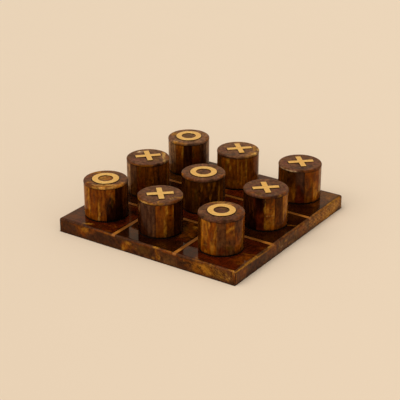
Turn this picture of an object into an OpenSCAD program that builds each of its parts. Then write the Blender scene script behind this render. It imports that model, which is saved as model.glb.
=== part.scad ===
// Tic-tac-toe board: a square horn-veneered board with nine turned playing pieces.
// +Z is up, the origin is the middle of the board's underside, and the front side faces -Y.

/* [Board] */
// Side of the square board
board_w = 200; // [190:1:230]
// Height of the board's top above the table
board_h = 14.1; // [11:0.1:20]
// Thickness of the horn tiles on top
tile_t = 1.8; // [1:0.1:3]
// Thickness of the horn bands round the sides
band_t = 2.2; // [1.6:0.1:3.5]
// Radius along the board's top edges
edge_r = 2; // [0.8:0.1:2.4]
// Radius of the board's four upright corners
corner_r = 2.3; // [1:0.1:5]
// Thickness of the felt under the board
base_felt_t = 0.6; // [0.4:0.1:2]
// Distance that this felt stays in from the board's sides
base_felt_in = 0.3; // [0.2:0.1:6]

/* [Strips] */
// Width of the brass strips between the cells
strip_w = 3.8; // [1.5:0.1:5]
// Distance from the board's middle to the middle of each strip
strip_off = 34.6; // [32:0.1:37]
// Glue line beside a strip, between a tile and its band, and round the wood of a piece
glue_gap = 0.06; // [0.02:0.01:0.2]

/* [Playing pieces] */
// Diameter of a playing piece, over its cap
piece_d = 42.7; // [32:0.1:46]
// Height of a playing piece above the board, up to its cap
piece_h = 36.4; // [20:0.1:60]
// Thickness of the horn cap
cap_t = 2.2; // [1.6:0.1:5]
// Radius round the cap's upper edge
cap_r = 1.4; // [0.2:0.1:1.5]
// Distance that the cap stands out over the staves
cap_lip = 0.1; // [0.05:0.05:1]
// Number of horn staves round a piece
stave_count = 15; // [11:1:20]
// Thickness of a stave
stave_t = 1.6; // [1.2:0.1:5]
// Glue line between two staves
stave_gap = 0.12; // [0.05:0.01:0.4]
// Bevel on the staves' lower outer edges
stave_bevel = 0.5; // [0.1:0.1:0.9]
// Thickness of the felt under a piece
foot_t = 1.1; // [0.5:0.1:2]
// Distance that this felt stays in from the staves
foot_in = 0.3; // [0.2:0.1:3]

/* [Brass marks] */
// Outer diameter of a ring
ring_d = 25.8; // [20:0.1:30]
// Diameter of the hole in a ring
ring_hole_d = 14.5; // [6:0.1:18]
// Length of a cross, from one arm's end to the other
cross_len = 25.2; // [18:0.1:30]
// Width of a cross's arms
cross_w = 5.3; // [3:0.1:9]
// Height of a mark above its cap
mark_proud = 0.7; // [0.1:0.1:1.5]
// Depth of a mark in its cap
mark_depth = 1; // [0.4:0.1:1.2]
// Clearance round a mark in its pocket
mark_gap = 0.08; // [0.02:0.01:0.3]

/* [Front row] */
// Left piece: X and Y of its place from the middle of its cell
front_left_at = [0, 2.3]; // [-8:0.1:8]
// Left piece: turns of its mark and of its staves, in degrees, then X and Y of its mark from the cap's middle
front_left_turn = [0, -3.8, 0, -0.1]; // [-12:0.1:12]
// Middle piece: place
front_middle_at = [-4.2, 2.2]; // [-8:0.1:8]
// Middle piece: turns
front_middle_turn = [-2.8, 5.3, -0.4, 0.5]; // [-12:0.1:12]
// Right piece: place
front_right_at = [-5.4, 3]; // [-8:0.1:8]
// Right piece: turns
front_right_turn = [0, 2.3, -0.2, 0.5]; // [-12:0.1:12]

/* [Middle row] */
// Left piece: place
middle_left_at = [0.6, 1.5]; // [-8:0.1:8]
// Left piece: turns
middle_left_turn = [1, 10.4, -0.8, 1.4]; // [-12:0.1:12]
// Centre piece: place
centre_at = [-0.3, 0.2]; // [-8:0.1:8]
// Centre piece: turns
centre_turn = [0, 6.8, 0.5, -0.6]; // [-12:0.1:12]
// Right piece: place
middle_right_at = [1, 1.6]; // [-8:0.1:8]
// Right piece: turns
middle_right_turn = [-2.4, -10.9, 0.2, -0.7]; // [-12:0.1:12]

/* [Back row] */
// Left piece: place
back_left_at = [3.1, 1.6]; // [-8:0.1:8]
// Left piece: turns
back_left_turn = [0, 1.2, -0.3, 0.3]; // [-12:0.1:12]
// Middle piece: place
back_middle_at = [-3.9, 0.2]; // [-8:0.1:8]
// Middle piece: turns
back_middle_turn = [-0.3, 11.3, 0.3, 1.8]; // [-12:0.1:12]
// Right piece: place
back_right_at = [-3, 5]; // [-8:0.1:8]
// Right piece: turns
back_right_turn = [-1.5, 0.6, 0, 1.1]; // [-12:0.1:12]

/* [Hidden] */
$fn = 96;
// Length by which a cutting shape runs past what it cuts
over = 1;

half_w = board_w / 2;
side_h = board_h - base_felt_t;
core_w = board_w - 2 * band_t;
core_h = side_h - tile_t;
core_top = base_felt_t + core_h;
tile_end = core_w / 2 - glue_gap;
strip_in = strip_off - strip_w / 2;
strip_out = strip_off + strip_w / 2;
tile_in = strip_in - glue_gap;
tile_out = strip_out + glue_gap;
cell_off = (strip_out + half_w) / 2;
felt_w = board_w - 2 * base_felt_in;

cap_base = piece_h - cap_t;
stave_h = cap_base - foot_t;
stave_r = piece_d / 2 - cap_lip;
inner_r = stave_r - stave_t;
wood_r = inner_r - glue_gap;
stave_step = 360 / stave_count;
gap_turn = stave_gap / stave_r * 180 / PI;
mark_base = piece_h - mark_depth;
mark_t = mark_depth + mark_proud;

// Every playing piece: its name, column, row, kind of mark, place and turns
SETS = [
    ["front_left", -1, -1, "ring", front_left_at, front_left_turn],
    ["front_middle", 0, -1, "cross", front_middle_at, front_middle_turn],
    ["front_right", 1, -1, "ring", front_right_at, front_right_turn],
    ["middle_left", -1, 0, "cross", middle_left_at, middle_left_turn],
    ["centre", 0, 0, "ring", centre_at, centre_turn],
    ["middle_right", 1, 0, "cross", middle_right_at, middle_right_turn],
    ["back_left", -1, 1, "ring", back_left_at, back_left_turn],
    ["back_middle", 0, 1, "cross", back_middle_at, back_middle_turn],
    ["back_right", 1, 1, "cross", back_right_at, back_right_turn]
];

BOARD = [
    "board_core", "front_row_tiles", "middle_row_tiles", "back_row_tiles",
    "front_band", "back_band", "left_band", "right_band",
    "front_strip", "back_strip", "left_strip", "right_strip", "base_felt"
];

// Profile of the board across one direction, with its upper corners rounded
module edge_profile() {
    translate([-half_w, 0]) square([board_w, side_h - edge_r]);
    translate([-half_w + edge_r, 0]) square([board_w - 2 * edge_r, side_h]);
    for (side = [-1, 1]) translate([side * (half_w - edge_r), side_h - edge_r]) circle(r = edge_r);
}

// Plan of the board, with its upright corners rounded
module plan() {
    square([board_w - 2 * corner_r, board_w], center = true);
    square([board_w, board_w - 2 * corner_r], center = true);
    for (x = [-1, 1]) for (y = [-1, 1])
        translate([x * (half_w - corner_r), y * (half_w - corner_r)]) circle(r = corner_r);
}

// Outer shape of the board above its felt
module block() {
    translate([0, 0, base_felt_t]) intersection() {
        linear_extrude(side_h) plan();
        rotate([90, 0, 0]) linear_extrude(board_w, center = true) edge_profile();
        rotate([90, 0, 90]) linear_extrude(board_w, center = true) edge_profile();
    }
}

// Box in the tile layer around a strip along X, wider by spare on each side
module strip_box(off, spare) {
    translate([-half_w, off - strip_w / 2 - spare, core_top])
        cube([board_w, strip_w + 2 * spare, tile_t + over]);
}

module board_core() {
    color("saddlebrown") translate([-core_w / 2, -core_w / 2, base_felt_t]) cube([core_w, core_w, core_h]);
}

// The three tiles of one row of cells
module row_tiles(row) {
    low = [-tile_end, -tile_in, tile_out];
    high = [-tile_out, tile_in, tile_end];
    color([0.17, 0.06, 0.02]) for (column = [0:2])
        translate([low[column], low[row], core_top])
            cube([high[column] - low[column], high[row] - low[row], tile_t]);
}

// Band along the front side, mitred at both ends, and turned to stand on the other sides
module band(turn) {
    color([0.33, 0.17, 0.07]) difference() {
        intersection() {
            block();
            rotate([0, 0, turn]) linear_extrude(board_h) polygon([
                [-half_w, -half_w], [half_w, -half_w],
                [core_w / 2, -core_w / 2], [-core_w / 2, -core_w / 2]
            ]);
        }
        for (off = [-strip_off, strip_off]) rotate([0, 0, turn + 90]) strip_box(off, glue_gap);
    }
}

// One strip across the whole board
module whole_strip(off) {
    color([0.78, 0.55, 0.25]) intersection() {
        block();
        strip_box(off, 0);
    }
}

// One strip in three lengths, between the strips that run the other way
module cut_strip(off) {
    color([0.78, 0.55, 0.25]) intersection() {
        block();
        difference() {
            rotate([0, 0, 90]) strip_box(-off, 0);
            for (cross = [-strip_off, strip_off]) strip_box(cross, glue_gap);
        }
    }
}

// Felt under the whole board
module base_felt() {
    color([0.1, 0.07, 0.05]) translate([-felt_w / 2, -felt_w / 2, 0]) cube([felt_w, felt_w, base_felt_t]);
}

// Stands its children on the board at a piece's place
module seat(s) {
    translate([s[1] * cell_off + s[4][0], s[2] * cell_off + s[4][1], board_h]) children();
}

// Wooden cylinder inside a piece
module piece_wood() {
    color("sienna") translate([0, 0, foot_t]) cylinder(r = wood_r, h = stave_h);
}

// Horn staves glued round the wood, each a separate solid
module piece_staves(turn) {
    color([0.36, 0.18, 0.06]) for (i = [0:stave_count - 1])
        rotate([0, 0, turn + i * stave_step + gap_turn / 2])
            rotate_extrude(angle = stave_step - gap_turn)
                polygon([
                    [inner_r, foot_t], [stave_r - stave_bevel, foot_t],
                    [stave_r, foot_t + stave_bevel], [stave_r, cap_base], [inner_r, cap_base]
                ]);
}

// Ring or cross at its turn and place on the cap, grown by spare on every side
module mark_solid(kind, turn, height, spare) translate([turn[2], turn[3], 0]) {
    if (kind == "ring") difference() {
        cylinder(d = ring_d + 2 * spare, h = height);
        translate([0, 0, -over]) cylinder(d = ring_hole_d - 2 * spare, h = height + 2 * over);
    }
    if (kind == "cross") for (arm = [45, 135]) rotate([0, 0, arm + turn[0]])
        translate([-cross_len / 2 - spare, -cross_w / 2 - spare, 0])
            cube([cross_len + 2 * spare, cross_w + 2 * spare, height]);
}

// Horn disc on top of a piece, with the pocket for its mark
module piece_cap(kind, turn) {
    color([0.28, 0.15, 0.08]) difference() {
        translate([0, 0, cap_base]) rotate_extrude() {
            square([piece_d / 2, cap_t - cap_r]);
            square([piece_d / 2 - cap_r, cap_t]);
            intersection() {
                translate([piece_d / 2 - cap_r, cap_t - cap_r]) circle(r = cap_r);
                square([piece_d, 2 * cap_t]);
            }
        }
        translate([0, 0, mark_base]) mark_solid(kind, turn, mark_t, mark_gap);
    }
}

// Brass ring or cross in its pocket
module piece_mark(kind, turn) {
    color([0.85, 0.65, 0.35]) translate([0, 0, mark_base]) mark_solid(kind, turn, mark_t, 0);
}

// Felt disc that a piece stands on
module piece_foot() {
    color([0.04, 0.03, 0.03]) cylinder(r = stave_r - foot_in, h = foot_t);
}

board_core();
row_tiles(0);  // front_row_tiles
row_tiles(1);  // middle_row_tiles
row_tiles(2);  // back_row_tiles
band(0);  // front_band
band(180);  // back_band
band(-90);  // left_band
band(90);  // right_band
whole_strip(-strip_off);  // front_strip
whole_strip(strip_off);  // back_strip
cut_strip(-strip_off);  // left_strip
cut_strip(strip_off);  // right_strip
base_felt();
for (s = SETS) {
    seat(s) piece_wood();
    seat(s) piece_staves(s[5][1]);
    seat(s) piece_cap(s[3], s[5]);
    seat(s) piece_mark(s[3], s[5]);
    seat(s) piece_foot();
}
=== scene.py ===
import math
import bpy
import numpy as np
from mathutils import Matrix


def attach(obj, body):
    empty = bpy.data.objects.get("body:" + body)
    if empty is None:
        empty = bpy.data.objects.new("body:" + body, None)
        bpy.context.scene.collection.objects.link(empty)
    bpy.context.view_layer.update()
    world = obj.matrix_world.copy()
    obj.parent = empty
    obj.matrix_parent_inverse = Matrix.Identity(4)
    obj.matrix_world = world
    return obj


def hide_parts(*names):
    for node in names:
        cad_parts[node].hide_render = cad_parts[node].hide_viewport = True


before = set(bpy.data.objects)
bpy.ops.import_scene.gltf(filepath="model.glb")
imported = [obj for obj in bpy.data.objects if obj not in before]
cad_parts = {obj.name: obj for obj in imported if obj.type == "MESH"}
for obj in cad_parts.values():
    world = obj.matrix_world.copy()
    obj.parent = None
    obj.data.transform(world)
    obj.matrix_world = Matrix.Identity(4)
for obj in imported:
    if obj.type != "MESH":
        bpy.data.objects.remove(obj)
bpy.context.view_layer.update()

print("frame loaded:", len(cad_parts), "CAD nodes")

# Camera: the angle, distance and point that the photograph was taken from
cameraSetup = {
    "azimuth": 33.92,       # degrees, from the front side towards the right
    "elevation": 24.31,     # degrees above the table
    "distance": 1.2052,     # m, from the point that it looks at
    "target": (-0.0111, 0.0102, 0.0141),
    "lens": 109.71,         # mm
    "sensor": 36,           # mm
    "clip": (0.05, 30),     # m, the nearest and the farthest that it sees
}

# Studio: pale paper, an even pale surround, and one broad lamp overhead
studioSetup = {
    "paper": (0.807, 0.65, 0.475),
    "paperSize": 12.0,      # m, side of the floor
    "surround": 0.66,       # light from all round, where 1 renders a colour as written
    "mirrored": (0.82, 0.61, 0.41),     # what glossy pieces mirror above the paper
    "lampPower": 1.35,      # W/m2
    "lampTurn": (24, -14),  # degrees, tilts about X and Y
    "lampSpread": 50,       # degrees, how broad the lamp looks from the table
}


def addNode(tree, kind, inputs=None, **settings):
    # A node with its settings; a value goes into a socket, and another node's socket is linked to it
    made = tree.nodes.new("ShaderNode" + kind)
    for key, value in settings.items():
        setattr(made, key, value)
    for key, value in (inputs or {}).items():
        if isinstance(value, bpy.types.NodeSocket):
            tree.links.new(value, made.inputs[key])
        else:
            made.inputs[key].default_value = value
    return made


def noise(tree, where, scale, detail, roughness=0.5, distortion=0):
    # Noise from 0 to 1, with scale waves to one unit of where
    return addNode(tree, "TexNoise", {"Vector": where, "Scale": scale, "Detail": detail,
                                      "Roughness": roughness, "Distortion": distortion}).outputs[0]


def mixValues(tree, share, a, b):
    # a + (b - a) * share
    return addNode(tree, "Mix", {0: share, 2: a, 3: b}).outputs[0]


def mixColours(tree, share, a, b, kind="MIX"):
    # a + (b - a) * share; with kind MULTIPLY and a share of 1, a * b
    a, b = ((*c, 1) if isinstance(c, tuple) else c for c in (a, b))
    return addNode(tree, "Mix", {0: share, 6: a, 7: b}, data_type="RGBA", blend_type=kind).outputs[2]


def spread(tree, value, low, high, start=0.3, end=0.7):
    # low + (high - low) * (value - start) / (end - start), kept between low and high
    return addNode(tree, "MapRange", {0: value, 1: start, 2: end, 3: low, 4: high}).outputs[0]


def raised(tree, height, strength, distance):
    # Normals bent by a height of distance, in m
    return addNode(tree, "Bump", {"Strength": strength, "Distance": distance,
                                  "Height": height}).outputs[0]


def stretched(tree, vector, scale):
    # vector * scale, axis by axis
    return addNode(tree, "VectorMath", {0: vector, 1: scale}, operation="MULTIPLY").outputs[0]


def readLayers(tree):
    # The colour and the grain that a mesh carries at its points
    return (addNode(tree, "Attribute", attribute_name="tint").outputs["Color"],
            addNode(tree, "Attribute", attribute_name="grain").outputs["Vector"])


def newFinish(name):
    # An empty material and its node tree
    made = bpy.data.materials.new(name)
    made.use_nodes = True
    made.node_tree.nodes.clear()
    return made, made.node_tree


def closeFinish(tree, colour, roughness, bump, more=None):
    # The Principled shader with its sockets filled, and the output
    shader = addNode(tree, "BsdfPrincipled", {"Base Color": colour, "Roughness": roughness,
                                              "Normal": bump, **(more or {})})
    addNode(tree, "OutputMaterial", {"Surface": shader.outputs[0]})


def placeCamera(setup):
    # back = (sin a cos e, -cos a cos e, sin e); the camera stands at target + back * distance
    a = math.radians(setup["azimuth"])
    e = math.radians(setup["elevation"])
    back = np.array([math.sin(a) * math.cos(e), -math.cos(a) * math.cos(e), math.sin(e)])
    lens = bpy.data.cameras.new("photoCamera")
    lens.sensor_width = setup["sensor"]
    lens.lens = setup["lens"]
    lens.clip_start, lens.clip_end = setup["clip"]
    made = bpy.data.objects.new("photoCamera", lens)
    made.location = np.array(setup["target"]) + back * setup["distance"]
    made.rotation_euler = (math.pi / 2 - e, 0, a)
    bpy.context.scene.collection.objects.link(made)
    bpy.context.scene.camera = made


def lightStudio(setup):
    # The surround is white light on the object, paper-coloured where it is seen, warm where mirrored
    scene = bpy.context.scene
    scene.world = bpy.data.worlds.new("surround")
    scene.world.use_nodes = True
    tree = scene.world.node_tree
    tree.nodes.clear()
    path = addNode(tree, "LightPath")
    seen = addNode(tree, "Math", {0: path.outputs["Is Camera Ray"],
                                  1: path.outputs["Is Transmission Ray"]}, operation="MAXIMUM")
    light, paper, warm = (addNode(tree, "Background", {"Color": (*colour, 1), "Strength": strength})
                          for colour, strength in (((1, 1, 1), setup["surround"]),
                                                   (setup["paper"], 1), (setup["mirrored"], 1)))
    mixed = light
    for share, other in ((path.outputs["Is Glossy Ray"], warm), (seen.outputs[0], paper)):
        mixed = addNode(tree, "MixShader", {0: share, 1: mixed.outputs[0], 2: other.outputs[0]})
    addNode(tree, "OutputWorld", {"Surface": mixed.outputs[0]})
    sun = bpy.data.lights.new("overhead", "SUN")
    sun.energy = setup["lampPower"]
    sun.angle = math.radians(setup["lampSpread"])
    lamp = bpy.data.objects.new("overhead", sun)
    lamp.rotation_euler = (math.radians(setup["lampTurn"][0]), math.radians(setup["lampTurn"][1]), 0)
    scene.collection.objects.link(lamp)
    half = setup["paperSize"] / 2
    mesh = bpy.data.meshes.new("paperFloor")
    mesh.from_pydata([(-half, -half, 0), (half, -half, 0), (half, half, 0), (-half, half, 0)], [],
                     [(0, 1, 2, 3)])
    mesh.materials.append(paperFinish(setup["paper"]))
    floor = bpy.data.objects.new("paperFloor", mesh)
    scene.collection.objects.link(floor)


def paperFinish(colour):
    # Matt paper: its colour wavers by one part in a hundred over a hand's breadth
    made, tree = newFinish("matt paper")
    cloud = noise(tree, addNode(tree, "TexCoord").outputs["Object"], scale=9, detail=2)
    tint = mixColours(tree, cloud, tuple(0.99 * c for c in colour), colour)
    matt = addNode(tree, "BsdfDiffuse", {"Color": tint, "Roughness": 0.5})
    addNode(tree, "OutputMaterial", {"Surface": matt.outputs[0]})
    return made


bpy.context.scene.view_settings.view_transform = "Standard"
placeCamera(cameraSetup)
lightStudio(studioSetup)
print("camera and studio placed")

# Horn tones by name, as albedo
hornTones = {
    "black": (0.006, 0.0010, 0.0004),
    "umber": (0.020, 0.0040, 0.0005),
    "chestnut": (0.041, 0.0108, 0.0008),
    "russet": (0.055, 0.0065, 0.0006),
    "rust": (0.078, 0.0180, 0.0008),
    "copper": (0.105, 0.0235, 0.0010),
    "amber": (0.136, 0.0305, 0.0008),
    "honey": (0.212, 0.0670, 0.0028),
    "tawny": (0.300, 0.0950, 0.0080),
    "gold": (0.315, 0.133, 0.0115),
    "straw": (0.480, 0.265, 0.062),
    "olive": (0.062, 0.0270, 0.0018),
    "ash": (0.045, 0.0155, 0.0064),
    "taupe": (0.072, 0.0232, 0.0058),
    "cocoa": (0.083, 0.0272, 0.0118),
    "clay": (0.135, 0.0580, 0.0200),
    "dun": (0.220, 0.1000, 0.0360),
    "mocha": (0.101, 0.0372, 0.0160),
    "drab": (0.113, 0.0455, 0.0200),
    "bone": (0.560, 0.360, 0.170),
    "slate": (0.050, 0.0290, 0.0200),
    "plum": (0.088, 0.0250, 0.0145),
    "fawn": (0.175, 0.0790, 0.0330),
}


def ripple(u, v, size, seed, count=7):
    # Sum of count sine waves of random direction, 0.6 to 2.2 of them to a length of size, divided by 3 so
    # that it stays between about -1 and 1
    dice = np.random.default_rng(seed)
    turn = dice.uniform(0, 2 * np.pi, count)
    reach = dice.uniform(0.6, 2.2, count) * 2 * np.pi / size
    phase = dice.uniform(0, 2 * np.pi, count)
    waves = np.sin((u[..., None] * np.cos(turn) + v[..., None] * np.sin(turn)) * reach + phase)
    return waves.sum(-1) / 3


def smooth(x):
    # 0 below 0, 1 above 1, and 3x^2 - 2x^3 between
    x = np.clip(x, 0, 1)
    return x * x * (3 - 2 * x)


def blend(a, b, share):
    # a + (b - a) * share, colour by colour
    return a + (np.asarray(b) - a) * share[..., None]


def stain(colour, u, v, spots, seed, turn=0, draw=1, unit=1):
    # Spots are text, "tone u v halfU halfV share" each, and a turn in degrees where it isn't the usual one.
    # Each is an ellipse with a wavering soft rim, share * grit * smooth((1.6 - distance + ripple) / 1.1).
    # Grit is a finer ripple, draw stretches both along v, and unit is the mm in one unit of a spot's u
    grit = (0.88 + 0.4 * ripple(u, v / draw, 2.6, seed + 3)).clip(0.25, 1)
    for n, spot in enumerate(spots.split(", ")):
        tone, *values = spot.split()
        u0, v0, halfU, halfV, share, angle = [*map(float, values), turn][:6]
        c, s = math.cos(math.radians(angle)), math.sin(math.radians(angle))
        du, dv = u - u0 * unit, v - v0
        far = np.hypot((du * c + dv * s) / halfU, (dv * c - du * s) / halfV)
        rim = 0.3 * ripple(u, v / draw, 2.2 * min(halfU, halfV) + 1, seed + 31 * n)
        colour = blend(colour, hornTones[tone], share * grit * smooth((1.6 - far + rim) / 1.1))
    return colour


def mottle(colour, u, v, tones, size, share, seed):
    # Patches of one tone after another, each where a ripple of its own stands above 0.1
    for n, tone in enumerate(tones.split()):
        patch = smooth((ripple(u, v, size, seed + 7 * n) - 0.1) / 0.5)
        colour = blend(colour, hornTones[tone], share * patch)
    return colour


def fleck(colour, u, v, areas, seed):
    # Each area is a soft ellipse, smooth(1.4 - distance), where a tone shows on the crests of a ripple that
    # is drawn out along u
    for n, (u0, v0, halfU, halfV, tone, size, share) in enumerate(areas):
        inside = smooth(1.4 - np.hypot((u - u0) / halfU, (v - v0) / halfV))
        dots = smooth((ripple(u / 1.3, v, size, seed + 200 + n) - 0.15) / 0.4)
        colour = blend(colour, hornTones[tone], share * inside * dots)
    return colour


def plain(like, tone):
    # One tone at every point
    return np.zeros(like.shape + (3,)) + hornTones[tone]


def closeRings(grid):
    # Rows of the grid one after another, then the middle of the first row and that of the last
    shells, rows, around = grid.shape[:3]
    flat = grid.reshape(shells, rows * around, -1)
    ends = np.stack([grid[:, 0].mean(axis=1), grid[:, -1].mean(axis=1)], axis=1)
    return np.concatenate([flat, ends.reshape(shells, 2, -1)], axis=1)


def ringFaces(shells, rows, around, size, wrap):
    # Squares between neighbouring rings, and a fan at both ends where the rings don't wrap
    j = np.arange(around)
    k = (j + 1) % around
    i = np.arange(rows if wrap else rows - 1)[:, None]
    low, high = i * around, (i + 1) % rows * around
    squares = np.stack([low + j, low + k, high + k, high + j], axis=-1).reshape(-1, 4)
    offsets = np.arange(shells)[:, None, None] * size
    squares = (squares + offsets).reshape(-1, 4)
    if wrap:
        return squares, np.zeros((0, 3), int)
    last = (rows - 1) * around
    first = np.stack([k, j, np.full(around, rows * around)], axis=-1)
    final = np.stack([last + j, last + k, np.full(around, rows * around + 1)], axis=-1)
    fans = np.concatenate([first, final]) + offsets
    return squares, fans.reshape(-1, 3)


def enclosed(points, squares, fans):
    # Volume inside the faces: the sum of a . (b x c) / 6 over their triangles
    triangles = np.concatenate([squares[:, [0, 1, 2]], squares[:, [0, 2, 3]], fans])
    a, b, c = (points[triangles[:, n]] for n in range(3))
    return np.einsum("ij,ij->i", a, np.cross(b, c)).sum() / 6


def makePiece(name, grid, body, finish, stands, colour, grain, wrap=False, sharp=38):
    # Shells of rings in mm, closed at both ends or wrapped, as one object with its tint and its grain
    shells, rows, around = grid.shape[:3]
    flat = [values.reshape(shells, rows * around, 3) if wrap else closeRings(values)
            for values in (grid, colour, grain)]
    size = flat[0].shape[1]
    points, tint, grain = (values.reshape(-1, 3) for values in flat)
    points = points * 0.001
    squares, fans = ringFaces(shells, rows, around, size, wrap)
    if enclosed(points, squares, fans) < 0:
        squares, fans = squares[:, ::-1], fans[:, ::-1]
    mesh = bpy.data.meshes.new(name)
    mesh.from_pydata(points.tolist(), [], squares.tolist() + fans.tolist())
    mesh.shade_smooth()
    mesh.set_sharp_from_angle(angle=math.radians(sharp))
    tint = np.concatenate([tint, np.ones((len(tint), 1))], axis=1)
    mesh.attributes.new("tint", "FLOAT_COLOR", "POINT").data.foreach_set("color", tint.ravel())
    mesh.attributes.new("grain", "FLOAT_VECTOR", "POINT").data.foreach_set("vector", grain.ravel())
    mesh.materials.append(finish)
    made = bpy.data.objects.new(name, mesh)
    bpy.context.scene.collection.objects.link(made)
    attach(made, body)
    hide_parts(*stands)


def dress(node, finish):
    # A CAD node keeps its shape and gets a finish
    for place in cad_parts[node].material_slots:
        place.material = finish


# Lacquered horn: smoky streaks along the grain, a little cloud, small dark flecks, a glossy coat
hornSetup = {
    "streakScale": 0.42,        # streaks per mm across the grain
    "streakLength": 0.22,       # how much of that runs along the grain
    "cloud": 0.46,              # share of the clouds, which have no direction
    "stops": (0.34, 0.48, 0.6, 0.72),   # where in the noise the next four lie
    "dim": (0.32, 0.26, 0.2),   # darkest streaks, times the tone
    "mild": (1.2, 1.12, 1.0),   # between them
    "glow": (1.8, 1.75, 1.5),   # light streaks
    "wisp": (2.8, 3.0, 2.8),    # thin lightest wisps
    "roughness": 0.4,
    "speck": 0.55,              # what the small dark flecks leave of the colour
    "coat": 0.75,
    "coatRoughness": 0.06,
    "coatIor": 1.16,
}


def hornFinish(name, **changes):
    # tint * (dim .. mild .. glow .. wisp) by noise on the grain attribute, in mm: across, along, piece
    setup = {**hornSetup, **changes}
    made, tree = newFinish(name)
    tint, grain = readLayers(tree)
    drawn = stretched(tree, grain, (1, setup["streakLength"], 1))
    streak = noise(tree, drawn, setup["streakScale"], detail=5, roughness=0.6, distortion=0.7)
    fine = noise(tree, drawn, 4 * setup["streakScale"], detail=3, roughness=0.55)
    cloud = noise(tree, grain, scale=0.24, detail=4, roughness=0.6, distortion=0.8)
    streaks = mixValues(tree, 0.2, streak, fine)
    smoke = mixValues(tree, setup["cloud"], streaks, cloud)
    shade = addNode(tree, "ValToRGB", {0: smoke})
    stops = shade.color_ramp.elements
    stops.remove(stops[1])
    stops[0].position, stops[0].color = setup["stops"][0], (*setup["dim"], 1)
    for place, key in zip(setup["stops"][1:], ("mild", "glow", "wisp")):
        stops.new(place).color = (*setup[key], 1)
    colour = mixColours(tree, 1.0, tint, shade.outputs[0], "MULTIPLY")
    speck = addNode(tree, "TexVoronoi", {"Vector": drawn, "Scale": 1.1}, feature="F1")
    dots = spread(tree, speck.outputs[0], setup["speck"], 1, start=0.08, end=0.2)
    colour = mixColours(tree, 1.0, colour, dots, "MULTIPLY")
    rough = spread(tree, fine, setup["roughness"] - 0.07, setup["roughness"] + 0.07)
    bump = raised(tree, mixValues(tree, 0.25, cloud, fine), strength=0.12, distance=0.0002)
    closeFinish(tree, colour, rough, bump, {
        "Coat Normal": bump, "Specular IOR Level": 0, "Coat Weight": setup["coat"],
        "Coat Roughness": setup["coatRoughness"], "Coat IOR": setup["coatIor"]})
    return made


def brassFinish(name, colour, roughness, scratch, metal, shine):
    # Metal whose colour and roughness waver with brushing along its grain and with a faint tarnish,
    # times the tint attribute
    made, tree = newFinish(name)
    tint, grain = readLayers(tree)
    lines = noise(tree, stretched(tree, grain, (0.12, 1, 1)), scratch, detail=3)
    cloud = noise(tree, grain, scale=0.42, detail=4)
    share = spread(tree, mixValues(tree, 0.5, lines, cloud), low=0, high=1, start=0.35, end=0.65)
    dark = tuple(c * k for c, k in zip(colour, (0.84, 0.72, 0.55)))
    brushed = mixColours(tree, share, dark, colour)
    closeFinish(tree, mixColours(tree, 1.0, brushed, tint, "MULTIPLY"),
                spread(tree, lines, roughness - 0.06, roughness + 0.08),
                raised(tree, lines, strength=0.15, distance=0.0001),
                {"Metallic": metal, "Specular IOR Level": shine})
    return made


def feltFinish(name, colour):
    # Short matted fibres: fine noise for colour and height, no gloss
    made, tree = newFinish(name)
    where = addNode(tree, "TexCoord").outputs["Object"]
    fibre = noise(tree, where, scale=2600, detail=3, distortion=1.2)
    both = mixValues(tree, 0.4, fibre, noise(tree, where, scale=90, detail=3))
    dark, light = (tuple(k * c for c in colour) for k in (0.5, 1.5))
    closeFinish(tree, mixColours(tree, both, dark, light), spread(tree, fibre, 0.85, 1),
                raised(tree, fibre, strength=0.6, distance=0.0003), {"Specular IOR Level": 0.1})
    return made


def woodFinish(name, early, late):
    # Growth rings: a wave round the Z axis bent by noise, with fine pores along Z
    made, tree = newFinish(name)
    where = addNode(tree, "TexCoord").outputs["Object"]
    rings = addNode(tree, "TexWave", {"Vector": where, "Scale": 110, "Distortion": 5, "Detail": 3,
                                      "Detail Scale": 1.5}, wave_type="RINGS", rings_direction="Z")
    pores = noise(tree, where, scale=1500, detail=2)
    tint = mixColours(tree, mixValues(tree, 0.3, rings.outputs[1], pores), early, late)
    closeFinish(tree, tint, spread(tree, pores, 0.5, 0.75),
                raised(tree, pores, strength=0.3, distance=0.0002))
    return made


staveHorn = hornFinish("horn staves")
capHorn = hornFinish("horn caps", streakLength=0.5, cloud=0.6, coat=0.6, dim=(0.45, 0.42, 0.4),
                     mild=(1.1, 1.05, 1.05), glow=(1.8, 1.75, 1.7), wisp=(3, 3, 3))
tileHorn = hornFinish("horn tiles", streakScale=0.3, cloud=0.6, coat=1, coatRoughness=0.03,
                      coatIor=1.22, dim=(0.5, 0.45, 0.4), mild=(1.0, 0.95, 0.9), glow=(1.6, 1.5, 1.3))
bandHorn = hornFinish("horn bands", streakLength=0.6, streakScale=0.45)
markBrass = brassFinish("inlaid marks", (0.93, 0.73, 0.29), roughness=0.3, scratch=2.6, metal=1, shine=0.5)
stripBrass = brassFinish("inlaid strips", (0.44, 0.165, 0.02), roughness=0.45, scratch=1.8, metal=0.25,
                         shine=0.2)
blackFelt = feltFinish("black felt", (0.0035, 0.0015, 0.0008))
brownFelt = feltFinish("brown felt", (0.035, 0.018, 0.01))
coreWood = woodFinish("core wood", (0.42, 0.24, 0.11), (0.22, 0.1, 0.04))
print("finishes ready")

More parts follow.
